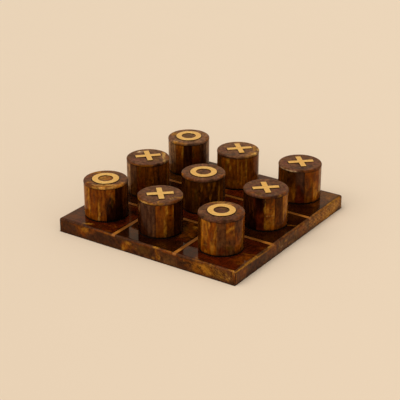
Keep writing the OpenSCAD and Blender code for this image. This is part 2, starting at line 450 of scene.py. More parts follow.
# Board: sizes in mm, as in the CAD
boardSizes = {
    "half": 100.0, "base": 0.6, "top": 14.1, "corner": 2.3, "edge": 2.0, "coreTop": 12.3,
    "lowEdge": 0.35,        # round along the bands' foot
    "bandInner": 2.2, "bandLedge": 1.2, "bandDepth": 7.0,       # the bands' inner wall and its hidden foot
    "bandLines": 260,       # points along a side
    "faceRows": 15, "cornerTurns": 5,       # points up a band's face, and round half a corner
    "chamfer": 0.08,        # along the bands' upper inner edge
    "tileEnds": (-97.74, -36.56, -32.64, 32.64, 36.56, 97.74),
    "tileCorner": 0.35, "tileRound": 0.12, "tileWaist": 13.2, "tileRings": 41,
    "tileMiddle": 0.015,    # the innermost ring, as a share of the outermost
    "stripOff": 34.6, "stripWide": 3.8, "stripProud": 0.03, "stripRound": 0.15, "stripGap": 0.06,
    "stripEnd": 99.985, "stripRings": 121,
    "stripLeast": 0.05,     # what is left of a strip's height at the board's rounded edge
    "grainStep": 31.0,      # from one tile's grain to the next one's
}

# Painted shade at the seams: tone left at a tile's edge, how much more of it at the board's outer
# edge (from mm off its middle, over mm), the seam's width; and a strip's tints from the middle to its end,
# a painted highlight towards its ends, then darker and bluer over the board's rounded edge
seamShade = {
    "edge": 0.1, "outer": 0.5, "outerFrom": 92, "outerOver": 4, "width": 1.7,
    "strip": (0.52, 0.46, 0.3),
    "stripEndLight": ((86, 7, (1.12, 1.1, 1.1)), (97, 1.8, (0.7, 0.68, 0.85))),
}

# Tones of the nine tiles by row, from the left, and their spots in board mm, turned by 34 degrees;
# the black spots just in front of the pieces' feet are painted shadow, and the thin gold line by the front
# left corner is a painted reflection
tileTones = {
    "front": "russet umber russet",
    "middle": "umber russet umber",
    "back": "chestnut russet umber",
}
tileSpots = (
    "black -27.7 -85.9 6 7 .6, rust -3.8 29.8 7 6 .8, rust -5.5 43.5 6 5 .8, rust -86.2 58 8 8 .6, "
    "black 21.3 -75.9 9 7 .3, amber -90.7 -88.3 7 7 .5, rust -93.9 -90.4 12 9 .75, ash -93.3 -79 8 7 .5, "
    "gold -69.3 -94.4 4.8 1.3 .85 24, black -64.1 -98.6 4 1.6 .7 24, rust -73.6 -90.3 1.4 3.4 .7, "
    "umber -54.8 -93.6 9 5 .6, russet -42.4 -90.5 5 6 .7, rust -44 -87.7 1 2.4 .7 54, "
    "amber -49 -85.8 1.2 1.2 .6, honey -43.3 -84.6 .8 2.6 .4 54, amber -43.2 -96.3 3 1.4 .7, "
    "honey -45 -100.1 2.4 1 .7, black -45.2 -71.3 3 7 .9, russet -46.4 -72.1 2 2.4 .7, "
    "black -49.5 -63.3 3 6 .5, umber -31.7 -89.8 5 8 .9, russet -28.2 -79.7 1.6 2.6 .6, "
    "black -10.6 -92.3 2 6 .6, black -2.4 -91.9 9 8 .6, black 45.1 -89.5 7 9 .8, "
    "chestnut 16.7 -94 4.5 5 .8, umber 25 -88.4 5 7 .85, amber 20.7 -66.2 2.6 3.4 .75 4, "
    "russet 23.8 -73 5 3.2 .7 4, rust 18.2 -55 8 12 .7, amber 21.4 -58.1 1 7 .65 69, "
    "honey 27.9 -62.6 .8 6 .4 69, olive 14.9 -52 3 5 .8, amber 15.1 -44 3 7 .6, "
    "gold 20.7 -45.5 1.6 3 .8, amber 11 -36.2 3 3 .7, honey 14.7 -35.8 1.8 2 .7, "
    "amber 26.9 -59.5 2.4 3 .6, chestnut 7.2 -44 3 5 .6, umber 37.8 -95.6 4 5 .6, "
    "honey 57.6 -97.3 1.1 3.6 .85, umber 54.8 -102.1 5 1.4 .7, black 64.6 -94.3 5 2.6 .6, "
    "russet 76.9 -91.9 13 7 .7, russet 90 -87.7 12 7 .6, amber 94.2 -74.4 9 7 .5, "
    "amber 97.8 -70.8 2.4 7 .7, honey 96.9 -81.9 7 1.8 .4, umber 94.4 -45.4 11 8 .5, "
    "russet 88.1 -56.9 7 5 .75, rust 97.2 -36.1 2.6 1.6 .8, honey 93.8 -63.5 6.2 .6 .8 21, "
    "honey 87.1 -64.6 1.6 .7 .6 21, amber 94.9 -70.4 10 2.4 .5 21, umber 78.1 -27.6 12 5 .7, "
    "black 64 -24.2 3 8 .8, umber 86 -21 6 6 .6, umber 92.3 -7.8 7 6 .6, umber 96.5 -24.1 4 2 .7, "
    "chestnut 95.9 -6.6 1 7 .5 64, honey 92.9 9.7 7 .7 .8 22, amber 83.4 8.3 3 .6 .8 22, "
    "chestnut 88.2 29.3 8 7 .6, umber 81.5 56.8 7 6 .5, rust 88.5 74.3 11 12 .85, "
    "amber 87.9 79.7 1 9 .5 64, rust 85.8 95.9 10 8 .85, honey 87.5 101.2 8 .8 .3 44, "
    "black 83.8 49.8 4 4 .5, rust 87.1 64.8 3 5 .5, russet 6 42.3 9 7 .8, chestnut 16.9 36.3 5 2.2 .5, "
    "amber -5.7 41.9 4 5 .8, amber 5.7 31.7 5 1 .8 22, rust -82.7 53.9 5 8 .6, umber -67.5 -24.8 4 5 .6, "
    "black -47.4 -50.9 4 6 1, russet -41.2 -59.1 3.4 3.4 .6, honey -57.2 -40.2 4.6 .5 .45 21, "
    "honey 88.7 90.5 10 7 .6, amber 77.5 90.3 6 5 .6, honey 97.7 86.3 6 6 .5, amber -6.3 42.9 5 4 .35, "
    "amber 17.7 -52.7 5 5 .3, amber 96.9 -46.1 5 1.6 .5, copper -23 -82.7 4 8 .4, "
    "black -51.4 -78.1 6 4 .8, amber 22.7 -46.8 2.5 5 .5, rust 27.8 -69 3 2.5 .6, "
    "black 79.2 50.9 12 3 .6, black 81.6 -22.7 10 3 .5, rust 91.9 34.5 2.6 3 .35, amber -6.3 42.9 4 3 .35")

# Each band's turn in degrees, tones, flecks, and spots in mm along the side and above the table;
# the thin light spots 12 to 14.6 mm up are painted highlights along the rounded top edge, and the upright
# spots 97 to 99.4 mm along the front band are partly end grain, partly painted highlight
bandTones = {
    "front": {
        "turn": 0, "tone": "ash", "mottle": 0.2,
        "flecks": [(68, 7.5, 30, 7, "umber", 2.6, 0.4), (74, 7.5, 26, 6, "gold", 2.4, 0.5)],
        "spots":
            "taupe 25.9 7 14 7 .55, cocoa 86.4 8.4 14 7 .5, taupe 2.3 6.4 9 7 .4, "
            "rust -96.3 7.7 .9 5 .8, black -97.8 7.3 .4 5 .7, honey -69.8 9.5 6 3.2 .8, "
            "gold -68.6 10.3 3.2 1.6 .6, amber -70.6 5 3.4 1.6 .9, amber -75.4 8 2.5 3 .6, "
            "amber -60.7 10.9 4 2.4 .45, amber -47.4 13.4 11 .9 .9, honey -40.4 13.2 5 .9 .7, "
            "amber -58.2 12.1 4 .9 .5, amber -18.4 6.9 7 4 .75, honey -21.3 5 3.4 3 .8 10, "
            "gold -22.9 3.5 1.2 2.6 .8, gold -17.7 10.1 3 1.6 .6, olive -14.3 6.9 1.6 2 .6, "
            "gold -25.6 .7 2 1 .5, umber -11 3.8 2.4 1.6 .6, gold -8 7.1 .8 .5 .5, olive 1.1 7.2 7 4 .6, "
            "rust 4.6 11.2 3 3 .5, umber -1.3 2.4 3 1.4 .5, gold 13.7 14.6 3.4 1.2 .85, "
            "honey 15.8 7.7 1.8 4.4 .8 12, gold 18 5.3 1.2 2 .5, umber 11.9 9.2 1 3 .6, "
            "gold 11.2 2.8 1.4 1 .4, amber 26 13.6 7 1.4 .85, honey 28.2 14.6 3 .8 .7, "
            "olive 29.2 5.9 6 4 .35, amber 35.9 12.4 4 1 .7, gold 45.2 9.5 .8 .8 .6, "
            "rust 49 5.5 3 2.6 .7, umber 42.4 5.7 3 3 .4, amber 47.9 10.8 7 1 .8, "
            "amber 66.3 7.5 10 5.6 .85, honey 58.8 7.3 5 4 .6, gold 67.3 8.8 5 2.6 .7, "
            "honey 58.7 3.3 3 1 .6, gold 70.6 5.8 3 2.6 .4, gold 64.1 10.4 3 1 .5, "
            "umber 50.7 8.6 1.3 1.1 .9, umber 55.7 8.9 1.1 .9 .85, umber 61.4 7.7 1.9 1.6 .95, "
            "umber 53.9 3.4 1 .8 .6, gold 74.8 13.5 3 1.2 .5, rust 75.9 7.3 3 4 .6, "
            "umber 78.5 10.1 1.4 3 .5, umber 50.1 9.4 1.6 1.4 .7, gold 68.9 10.3 3 2 .5, "
            "gold 72.7 5.4 3 1.6 .5, umber 55.5 1.4 1.2 .9 .7, straw 93.8 6.1 .9 .7 .6, "
            "straw 90.6 9.2 .8 .7 .5, olive 83.3 6.5 5 4 .6, gold 86.5 4.9 1.6 1.2 .5, "
            "gold 92.2 4.2 1.8 1 .45, gold 91.1 8.8 .9 .8 .5, gold 94.3 7.8 .9 .8 .4, "
            "clay 30.3 4.2 6 4 .5, honey 83.3 8.5 1.4 1 .4, umber 95.8 11.2 1.4 4 .6, "
            "rust 88.5 10.5 2.6 1.2 .7, russet 99.3 10.2 .8 5 .9, gold 97.8 13.2 .6 2.4 .8, "
            "copper 82.2 13.6 14 .9 .7, honey 63.1 14.4 9 .7 .6, gold 94.7 14.6 3 .7 .35, "
            "amber -3.3 12.7 9 .7 .6, amber -80 12 8 .7 .5, honey 99.4 9.8 .6 5 .7, "
            "gold 99.4 14.6 3.2 .9 .85, straw 99.4 14.6 2 .9 .6, honey 96.8 14.6 4 .8 .4, "
            "copper 99.4 9.3 1.2 5.5 .8, dun 99.4 13.6 .5 4 .7, ash -88.8 8.6 6 5 .5, "
            "black -43 7.3 12 7 .3, ash -50.1 6.4 7 5 .55, black -50.1 6.4 6 4 .2"},
    "right": {
        "turn": 90, "tone": "ash", "mottle": 0.2,
        "flecks": [(60, 8, 42, 7, "umber", 2.6, 0.45), (62, 8, 38, 6, "straw", 2.4, 0.45)],
        "spots":
            "clay -13.2 7 33 7 .4, clay 58 8.2 45 8 .75, amber 74.3 8.4 27 6 .6, amber 18.7 7.7 9 6 .5, "
            "clay -86.8 7.6 9 6 .4, amber -86 8.3 6.3 4.4 .6 -12, honey -82.6 8.3 3.3 2.4 .45, "
            "rust -91.7 6.8 3 3 .6, umber -66.5 5.9 12 6 .3, gold -90.2 13.2 10.5 .7 .9, "
            "gold -71.8 13 12 .7 .8, gold -54.6 12.5 12 .6 .7, honey -38.8 12.5 10.5 .6 .8, "
            "honey -97.4 8.3 .8 6 .8, amber -15.4 13.1 12 .6 .6, amber 14.4 13.6 15 .6 .7, "
            "honey 53.5 13.7 15 .6 .6, amber -36 9.2 7.5 3.4 .6, rust -29.1 10.4 2.4 2.4 .8, "
            "gold -23.2 9.1 1.2 3 .4, honey -33.4 10.2 3 1.6 .5, olive -17 8.6 4.5 3 .6, "
            "gold -11.5 8.9 1.8 1 .5, gold -5.7 3.9 1.8 .9 .5, bone -19.6 6 1.8 .8 .3, "
            "umber -.2 6.9 3.9 2 .6, olive 7.5 3.8 4.5 3.4 .6, honey 5.2 9.4 2.4 1.2 .5, "
            "honey 14.7 9.8 3 1.6 .7, amber 23.5 6.8 3.9 3 .6, gold 21.8 3.8 1.8 1 .45, "
            "amber 17 12 2.1 1.4 .8, umber 30.3 7.3 2.1 3 .7, amber 36.1 8.2 3.9 3.4 .8, "
            "honey 35 12.3 2.1 1.2 .6, amber 46 7.5 6 4 .8, gold 46 7.9 2.4 1.4 .8, "
            "gold 40.3 4.9 1.8 1 .5, umber 38.6 8.8 1.2 .7 .8, honey 50.1 7 9 4 .5, "
            "amber 54 8.1 4.5 3.6 .8, honey 57.8 10.4 2.7 1.4 .7, umber 56.2 5.1 1.4 .8 .8, "
            "amber 65.1 8.1 5.1 4 .85, gold 61.8 11.6 2.1 1.2 .6, umber 69 10.4 1.8 1 .6, "
            "rust 70.5 4.4 2.4 1.4 .8, amber 76.4 8.1 6 4.4 .85, honey 80.4 9.3 3.3 1.8 .8, "
            "honey 85.7 8.9 4.5 3.4 .45, gold 84.1 6.2 1.8 1 .5, black 80 14 3.3 .7 .85, "
            "amber 92 8.7 3.6 4 .8, rust 96.9 8.5 1.4 5 .8, honey 90.5 13.6 3.3 .9 .7, "
            "honey 50.1 6.4 7.5 3 .6, honey 84.6 8.8 6 3 .7, amber 70.3 6.6 15 6 .4, "
            "gold -67.6 14.4 7.5 .7 .6, gold -77.8 14.2 6 .7 .5, gold -39.8 14.4 6 .8 .6, "
            "gold 97.5 6.1 1.2 5 .6, gold 75.6 14.6 7.5 .8 .7, honey 49.2 14.6 7.5 .8 .7, "
            "honey 14.2 14.6 9 .8 .6, honey -8.3 14.6 7.5 .8 .5, gold 34 10.1 1.8 1 .6, "
            "gold 22.2 12.6 2.1 1 .5, gold 7 11.3 1.5 1 .5, gold 76.5 6.4 13.5 7 .6, "
            "honey 57.9 9.3 9 5 .6, gold 88.8 9.4 6 6 .4, gold 68.6 3 7.5 3 .5, umber 68.1 8.6 2 .8 .7, "
            "umber 80.5 8.7 1.5 .8 .7, umber 50.1 7 2.1 .8 .6, umber 87.4 2.3 1.5 .8 .6, "
            "umber 58 7.6 1.5 .7 .6, honey 41.9 10.2 6 3 .5"},
    "back": {
        "turn": 180, "tone": "ash", "mottle": 0.6,
        "flecks": [(-60, 8, 30, 7, "umber", 2.6, 0.6), (30, 8, 36, 6, "gold", 2.4, 0.4)],
        "spots":
            "clay -78 8 12 5 .7, honey -74 9 5 3 .7 10, amber -52 7 9 5 .7, gold -47 9 3 1.5 .6, "
            "umber -21 6 12 6 .6, clay -3 10 7 3 .6, gold 2 8 3 2 .6 -12, amber 21 7 10 5 .7, "
            "honey 27 9 4 2 .7, umber 33 5 1.4 1.1 .9, taupe 49 8 11 5 .6, amber 66 7 8 5 .8 8, "
            "gold 70 9 3 2 .6, umber 84 8 9 6 .6, amber -10 13.4 14 .9 .8, honey 60 13.6 12 .9 .6"},
    "left": {
        "turn": -90, "tone": "ash", "mottle": 0.6,
        "flecks": [(50, 8, 34, 7, "umber", 2.6, 0.6), (-50, 8, 34, 6, "gold", 2.4, 0.4)],
        "spots":
            "umber -86 7 8 6 .5, amber -64 8 10 5 .8, honey -60 9 4 2 .8 12, gold -57 6 2 1.2 .6, "
            "clay -34 7 12 5 .6, honey -14 8 7 4 .5, umber -9 6 1.6 1.2 .9, gold -2 9 5 2 .6 -10, "
            "umber 19 7 12 6 .5, amber 39 8 8 4 .8, gold 44 9 3 2 .6, taupe 63 6 10 5 .6, "
            "honey 82 8 8 5 .6 6, amber 30 13.5 15 .9 .8, honey -70 13.6 9 .9 .5"},
}


def boxLoop(x0, x1, y0, y1, corner, inset, lines=54):
    # Round a rectangle: sides of as many points as lines, and quarter circles of radius corner - inset
    turn = np.linspace(0, np.pi / 2, 5)
    reach = corner - inset
    share = np.linspace(0, 1, lines + 2)[1:-1]
    middles = [(x1 - corner, y1 - corner), (x0 + corner, y1 - corner), (x0 + corner, y0 + corner),
               (x1 - corner, y0 + corner)]
    x, y = [], []
    for n, (cx, cy) in enumerate(middles):
        angle = turn + n * np.pi / 2
        nextX, nextY = middles[(n + 1) % 4]
        x += [cx + reach * np.cos(angle), cx + (nextX - cx) * share + reach * math.cos(angle[-1])]
        y += [cy + reach * np.sin(angle), cy + (nextY - cy) * share + reach * math.sin(angle[-1])]
    return np.concatenate(x), np.concatenate(y)


def quarterRound(count, radius):
    # A rounded edge from its side to its top: mm in from the side, and mm below the top
    bend = np.radians(np.linspace(0, 90, count))
    return radius * (1 - np.cos(bend)), radius * (1 - np.sin(bend))


def buildTiles(row, size, shade, tones, spots):
    # Each tile: its outline up from the core, over a tiny round, then drawn in to its middle. Its grain
    # runs across the board, and in the middle row along it. Its tone darkens towards its edges with painted
    # shade at the seams
    ends = size["tileEnds"]
    first = 2 * list(tones).index(row)
    y0, y1 = ends[first:first + 2]
    shells, colours, shades = [], [], []
    inward, below = quarterRound(4, size["tileRound"])
    high = np.concatenate([[size["coreTop"], size["tileWaist"]], size["top"] - below,
                           np.full(size["tileRings"], size["top"])])
    share = (1 - np.linspace(0, 1 - size["tileMiddle"], size["tileRings"] + 1)[1:])[:, None]
    for n, tone in enumerate(tones[row].split()):
        x0, x1 = ends[2 * n:2 * n + 2]
        loops = np.array([boxLoop(x0, x1, y0, y1, size["tileCorner"], d) for d in (0.0, 0.0, *inward)])
        middleX, middleY = (x0 + x1) / 2, (y0 + y1) / 2
        x = np.concatenate([loops[:, 0], middleX + (loops[-1, 0] - middleX) * share])
        y = np.concatenate([loops[:, 1], middleY + (loops[-1, 1] - middleY) * share])
        shells.append(np.stack([x, y, high[:, None] + 0 * x], axis=-1))
        colours.append(plain(x, tone))
        # Painted shade: the tone darkens towards the tile's edges, less at the board's outer edge
        edge = np.maximum(abs(x - middleX) - (x1 - x0) / 2, abs(y - middleY) - (y1 - y0) / 2)
        outer = smooth((np.maximum(abs(x), abs(y)) - shade["outerFrom"]) / shade["outerOver"])
        low = shade["edge"] + shade["outer"] * outer
        shades.append(low + (1 - low) * smooth(-edge / shade["width"]))
    grid = np.array(shells)
    x, y, z = grid[..., 0], grid[..., 1], grid[..., 2]
    colour = mottle(np.array(colours), x, y, "black umber", size=15, share=0.3, seed=71)
    # The spots hold painted shadow in front of the pieces' feet and a painted reflection by the front left
    # corner
    colour = stain(colour, x, y, spots, seed=23, turn=34) * np.array(shades)[..., None]
    depth = z + size["grainStep"] * np.arange(3)[:, None, None]
    grain = np.stack([y, x, depth] if row == "middle" else [x, y, depth], axis=-1)
    makePiece(row + "_tileTops", grid, "board", tileHorn, [row + "_row_tiles"],
              colour, grain)


def buildBand(name, band, size):
    # Profile (inset, height): under side, small round, face, the 2 mm round on top, inner wall. It is
    # carried along the side and round half of each corner, where inset n turns with radius corner - n
    low, edge, base, inner, top = (size[key] for key in ("lowEdge", "edge", "base", "bandInner", "top"))
    lowUp, lowIn = quarterRound(8, low)
    inward, below = quarterRound(8, edge)
    face = np.linspace(base + low, top - edge, size["faceRows"] + 2)[1:-1]
    inset = np.concatenate([[inner, size["bandLedge"]], lowIn[::2], 0 * face, inward,
                            [inner - size["chamfer"], inner, inner]])
    high = np.concatenate([[base, base], base + lowUp[::2], face, top - below,
                           [top, top - size["chamfer"], size["bandDepth"]]])
    start = size["half"] - size["corner"]
    line = np.linspace(-start, start, size["bandLines"])
    turn = np.radians(np.linspace(0, 45, size["cornerTurns"] + 1))[1:]
    shift = np.concatenate([0 * turn - start, line, 0 * turn + start])[:, None]
    angle = np.concatenate([-turn[::-1], 0 * line, turn])[:, None]
    reach = size["corner"] - inset[None]
    x = shift + reach * np.sin(angle)
    y = -start - reach * np.cos(angle)
    z = high[None] + 0 * x
    along = shift + size["corner"] * angle + 0 * x
    c, s = math.cos(math.radians(band["turn"])), math.sin(math.radians(band["turn"]))
    grid = np.stack([x * c - y * s, x * s + y * c, z], axis=-1)
    up = z + 0.6 * inset    # on over the round, as it is seen from the side
    seed = 41 + band["turn"] % 360
    colour = mottle(plain(x, band["tone"]), along, 1.6 * up, "umber amber olive", size=11,
                    share=band["mottle"], seed=seed)
    # Among the spots, thin light rows along the top are painted highlights of the rounded edge
    colour = stain(colour, along, up, band["spots"], seed)
    colour = fleck(colour, along, up, band["flecks"], seed)
    grain = np.stack([along, up, 47.0 + band["turn"] + 0 * z], axis=-1)
    makePiece(name + "_bandStrip", grid[None], "board", bandHorn, [name + "_band"],
              colour[None], grain[None])


def buildStrip(name, lengths, turn, off, size, shade):
    # Cross-section with rounded upper corners, carried along with more rings towards its ends; its top
    # follows the board's rounded edge
    wide, foot, edge = size["stripWide"] / 2, size["coreTop"], size["edge"]
    bend = np.radians(np.linspace(0, 90, 4))
    share = np.linspace(-1, 1, size["stripRings"])
    share = np.sign(share) * (1 - (1 - abs(share)) ** 1.6)
    shells = []
    for start, end in lengths:
        x = (start + end) / 2 + (end - start) / 2 * share
        over = (abs(x) - size["half"] + edge).clip(0, edge)
        top = size["top"] - edge + np.sqrt(edge * edge - over * over) + size["stripProud"]
        top = np.maximum(top, foot + size["stripLeast"])[:, None]
        r = np.minimum(size["stripRound"], (top - foot) * 0.45)
        side, lift, flat = wide - r * (1 - np.cos(bend)), top - r * (1 - np.sin(bend)), 0 * r
        across = np.concatenate([flat - wide, -side, flat - 0.7 * wide, flat, flat + 0.7 * wide,
                                 side[:, ::-1], flat + wide, flat], axis=1)
        z = np.concatenate([flat + foot, lift, top, top, top, lift[:, ::-1], flat + foot, flat + foot],
                           axis=1)
        shells.append(np.stack([x[:, None] + 0 * z, off + across, z], axis=-1))
    grid = np.array(shells)
    tint = np.array(shade["strip"]) + 0 * grid
    # Painted highlight towards the strip's ends, then darker and bluer over the board's rounded edge
    for begin, width, tone in shade["stripEndLight"]:
        tint = blend(tint, tone, smooth((abs(grid[..., 0]) - begin) / width))
    grain = grid + np.array([0, 0, off + turn])
    if turn:
        grid = np.stack([-grid[..., 1], grid[..., 0], grid[..., 2]], axis=-1)
    makePiece(name + "_brassStrip", grid, "board", stripBrass, [name + "_strip"],
              tint, grain, sharp=50)


for name in tileTones:
    buildTiles(name, boardSizes, seamShade, tileTones, tileSpots)
for name, band in bandTones.items():
    buildBand(name, band, boardSizes)
off, end = boardSizes["stripOff"], boardSizes["stripEnd"]
between = off - boardSizes["stripWide"] / 2 - boardSizes["stripGap"]
beyond = off + boardSizes["stripWide"] / 2 + boardSizes["stripGap"]
wholeStrip = [(-end, end)]
threeLengths = [(-end, -beyond), (-between, between), (beyond, end)]
for name, lengths, turn, side in (("front", wholeStrip, 0, -off), ("back", wholeStrip, 0, off),
                                  ("left", threeLengths, 90, off), ("right", threeLengths, 90, -off)):
    buildStrip(name, lengths, turn, side, boardSizes, seamShade)
dress("board_core", coreWood)
dress("base_felt", brownFelt)
print("board built")

# Playing pieces: sizes in mm, as in the CAD
pieceSizes = {
    "footTop": 15.2, "capBase": 48.3, "capTop": 50.5,
    "staveRadius": 21.25, "staves": 15, "gap": 0.12,
    "flatness": 0.2,        # 0 is a round stave, 1 a flat one
    "swell": (-0.05, 0.03),     # how far a stave stands out of the ring
    # A stave's edge: share of its half width, and how deep it is there, from its inner corner on
    "staveEdge": ((1, 1.6), (1, 0.35), (0.995, 0.14), (0.975, 0.05), (0.93, 0.01)),
    "face": (0.86, 13),     # the face between its edges, and its points
    # A stave's ends: height, and how far it is drawn in there
    "staveEnds": ((0, 0.5), (0.08, 0.38), (0.3, 0.17), (0.5, 0), (32.7, 0), (32.9, 0.06), (33, 0.16)),
    "staveRows": (0.9, 32.3, 42),       # heights between the ends
    "staveBack": (0.35, -0.35),         # points on its inner arc, as shares of its half width
    "capRadius": 21.35, "capEdge": 1.4, "crown": 0.12,
    "capUnder": (6, 13),    # rings under the cap
    "capFoot": ((0.9, 0), (0.25, 0), (0.06, 0.05), (0, 0.22)),      # inset and rise of its lower round
    "markTop": 51.2, "pocket": 49.5, "pocketGap": 0.08, "pocketLip": 0.1, "markBevel": 0.14,
    "ringOuter": 12.9, "ringHole": 7.25, "ringSides": 96, "armLength": 12.6, "armHalf": 2.65,
    "ringRows": (11.8, 10.2, 8.7),      # rings on the ring's face, from the outer to the inner
    "crossRows": (0.8, 0.5, 0.2),       # loops on the cross's face, as shares of its outline
    # The cap inside a ring: mm in from the hole, and share of the pocket's depth
    "island": ((-0.2, 0), (0.02, 0), (0.08, 0.92), (0.6, 1), (1.1, 1), (2.6, 1), (4.6, 1)),
    "wallShade": (0.07, 0.04, 0.025),    # painted shade on a mark's sides
    "wornTint": (1.02, 0.86, 0.5),      # tarnished brass
    # Staves are mottled where they aren't seen: from degrees off the camera's side, over degrees
    "seenFrom": -56, "unseen": (75, 20), "mottle": 0.16,
    "patch": 2.5,           # how much longer up than across a stave's patches are
    "waver": (0.2, 0.32, 0.4),      # how far its tone wavers, as powers of e
    # A stave darkens under the cap, and at its foot with painted shade
    "endTone": 0.2,         # tone left at a stave's ends, and where it fades: from, over (mm)
    "headFade": (33.2, 1.3), "footShade": (-0.2, 2),
    "wallShadeDepth": (0.12, 0.1),        # where the painted shade on a mark's sides begins: mm below its top, over mm
    "tapers": (0.04, 0.02, 0.98),       # pocket's wall, and its floor under the mark: mm, mm, share
    "brushTurn": 37,        # degrees, from a mark's arms to the brushing of its brass
}
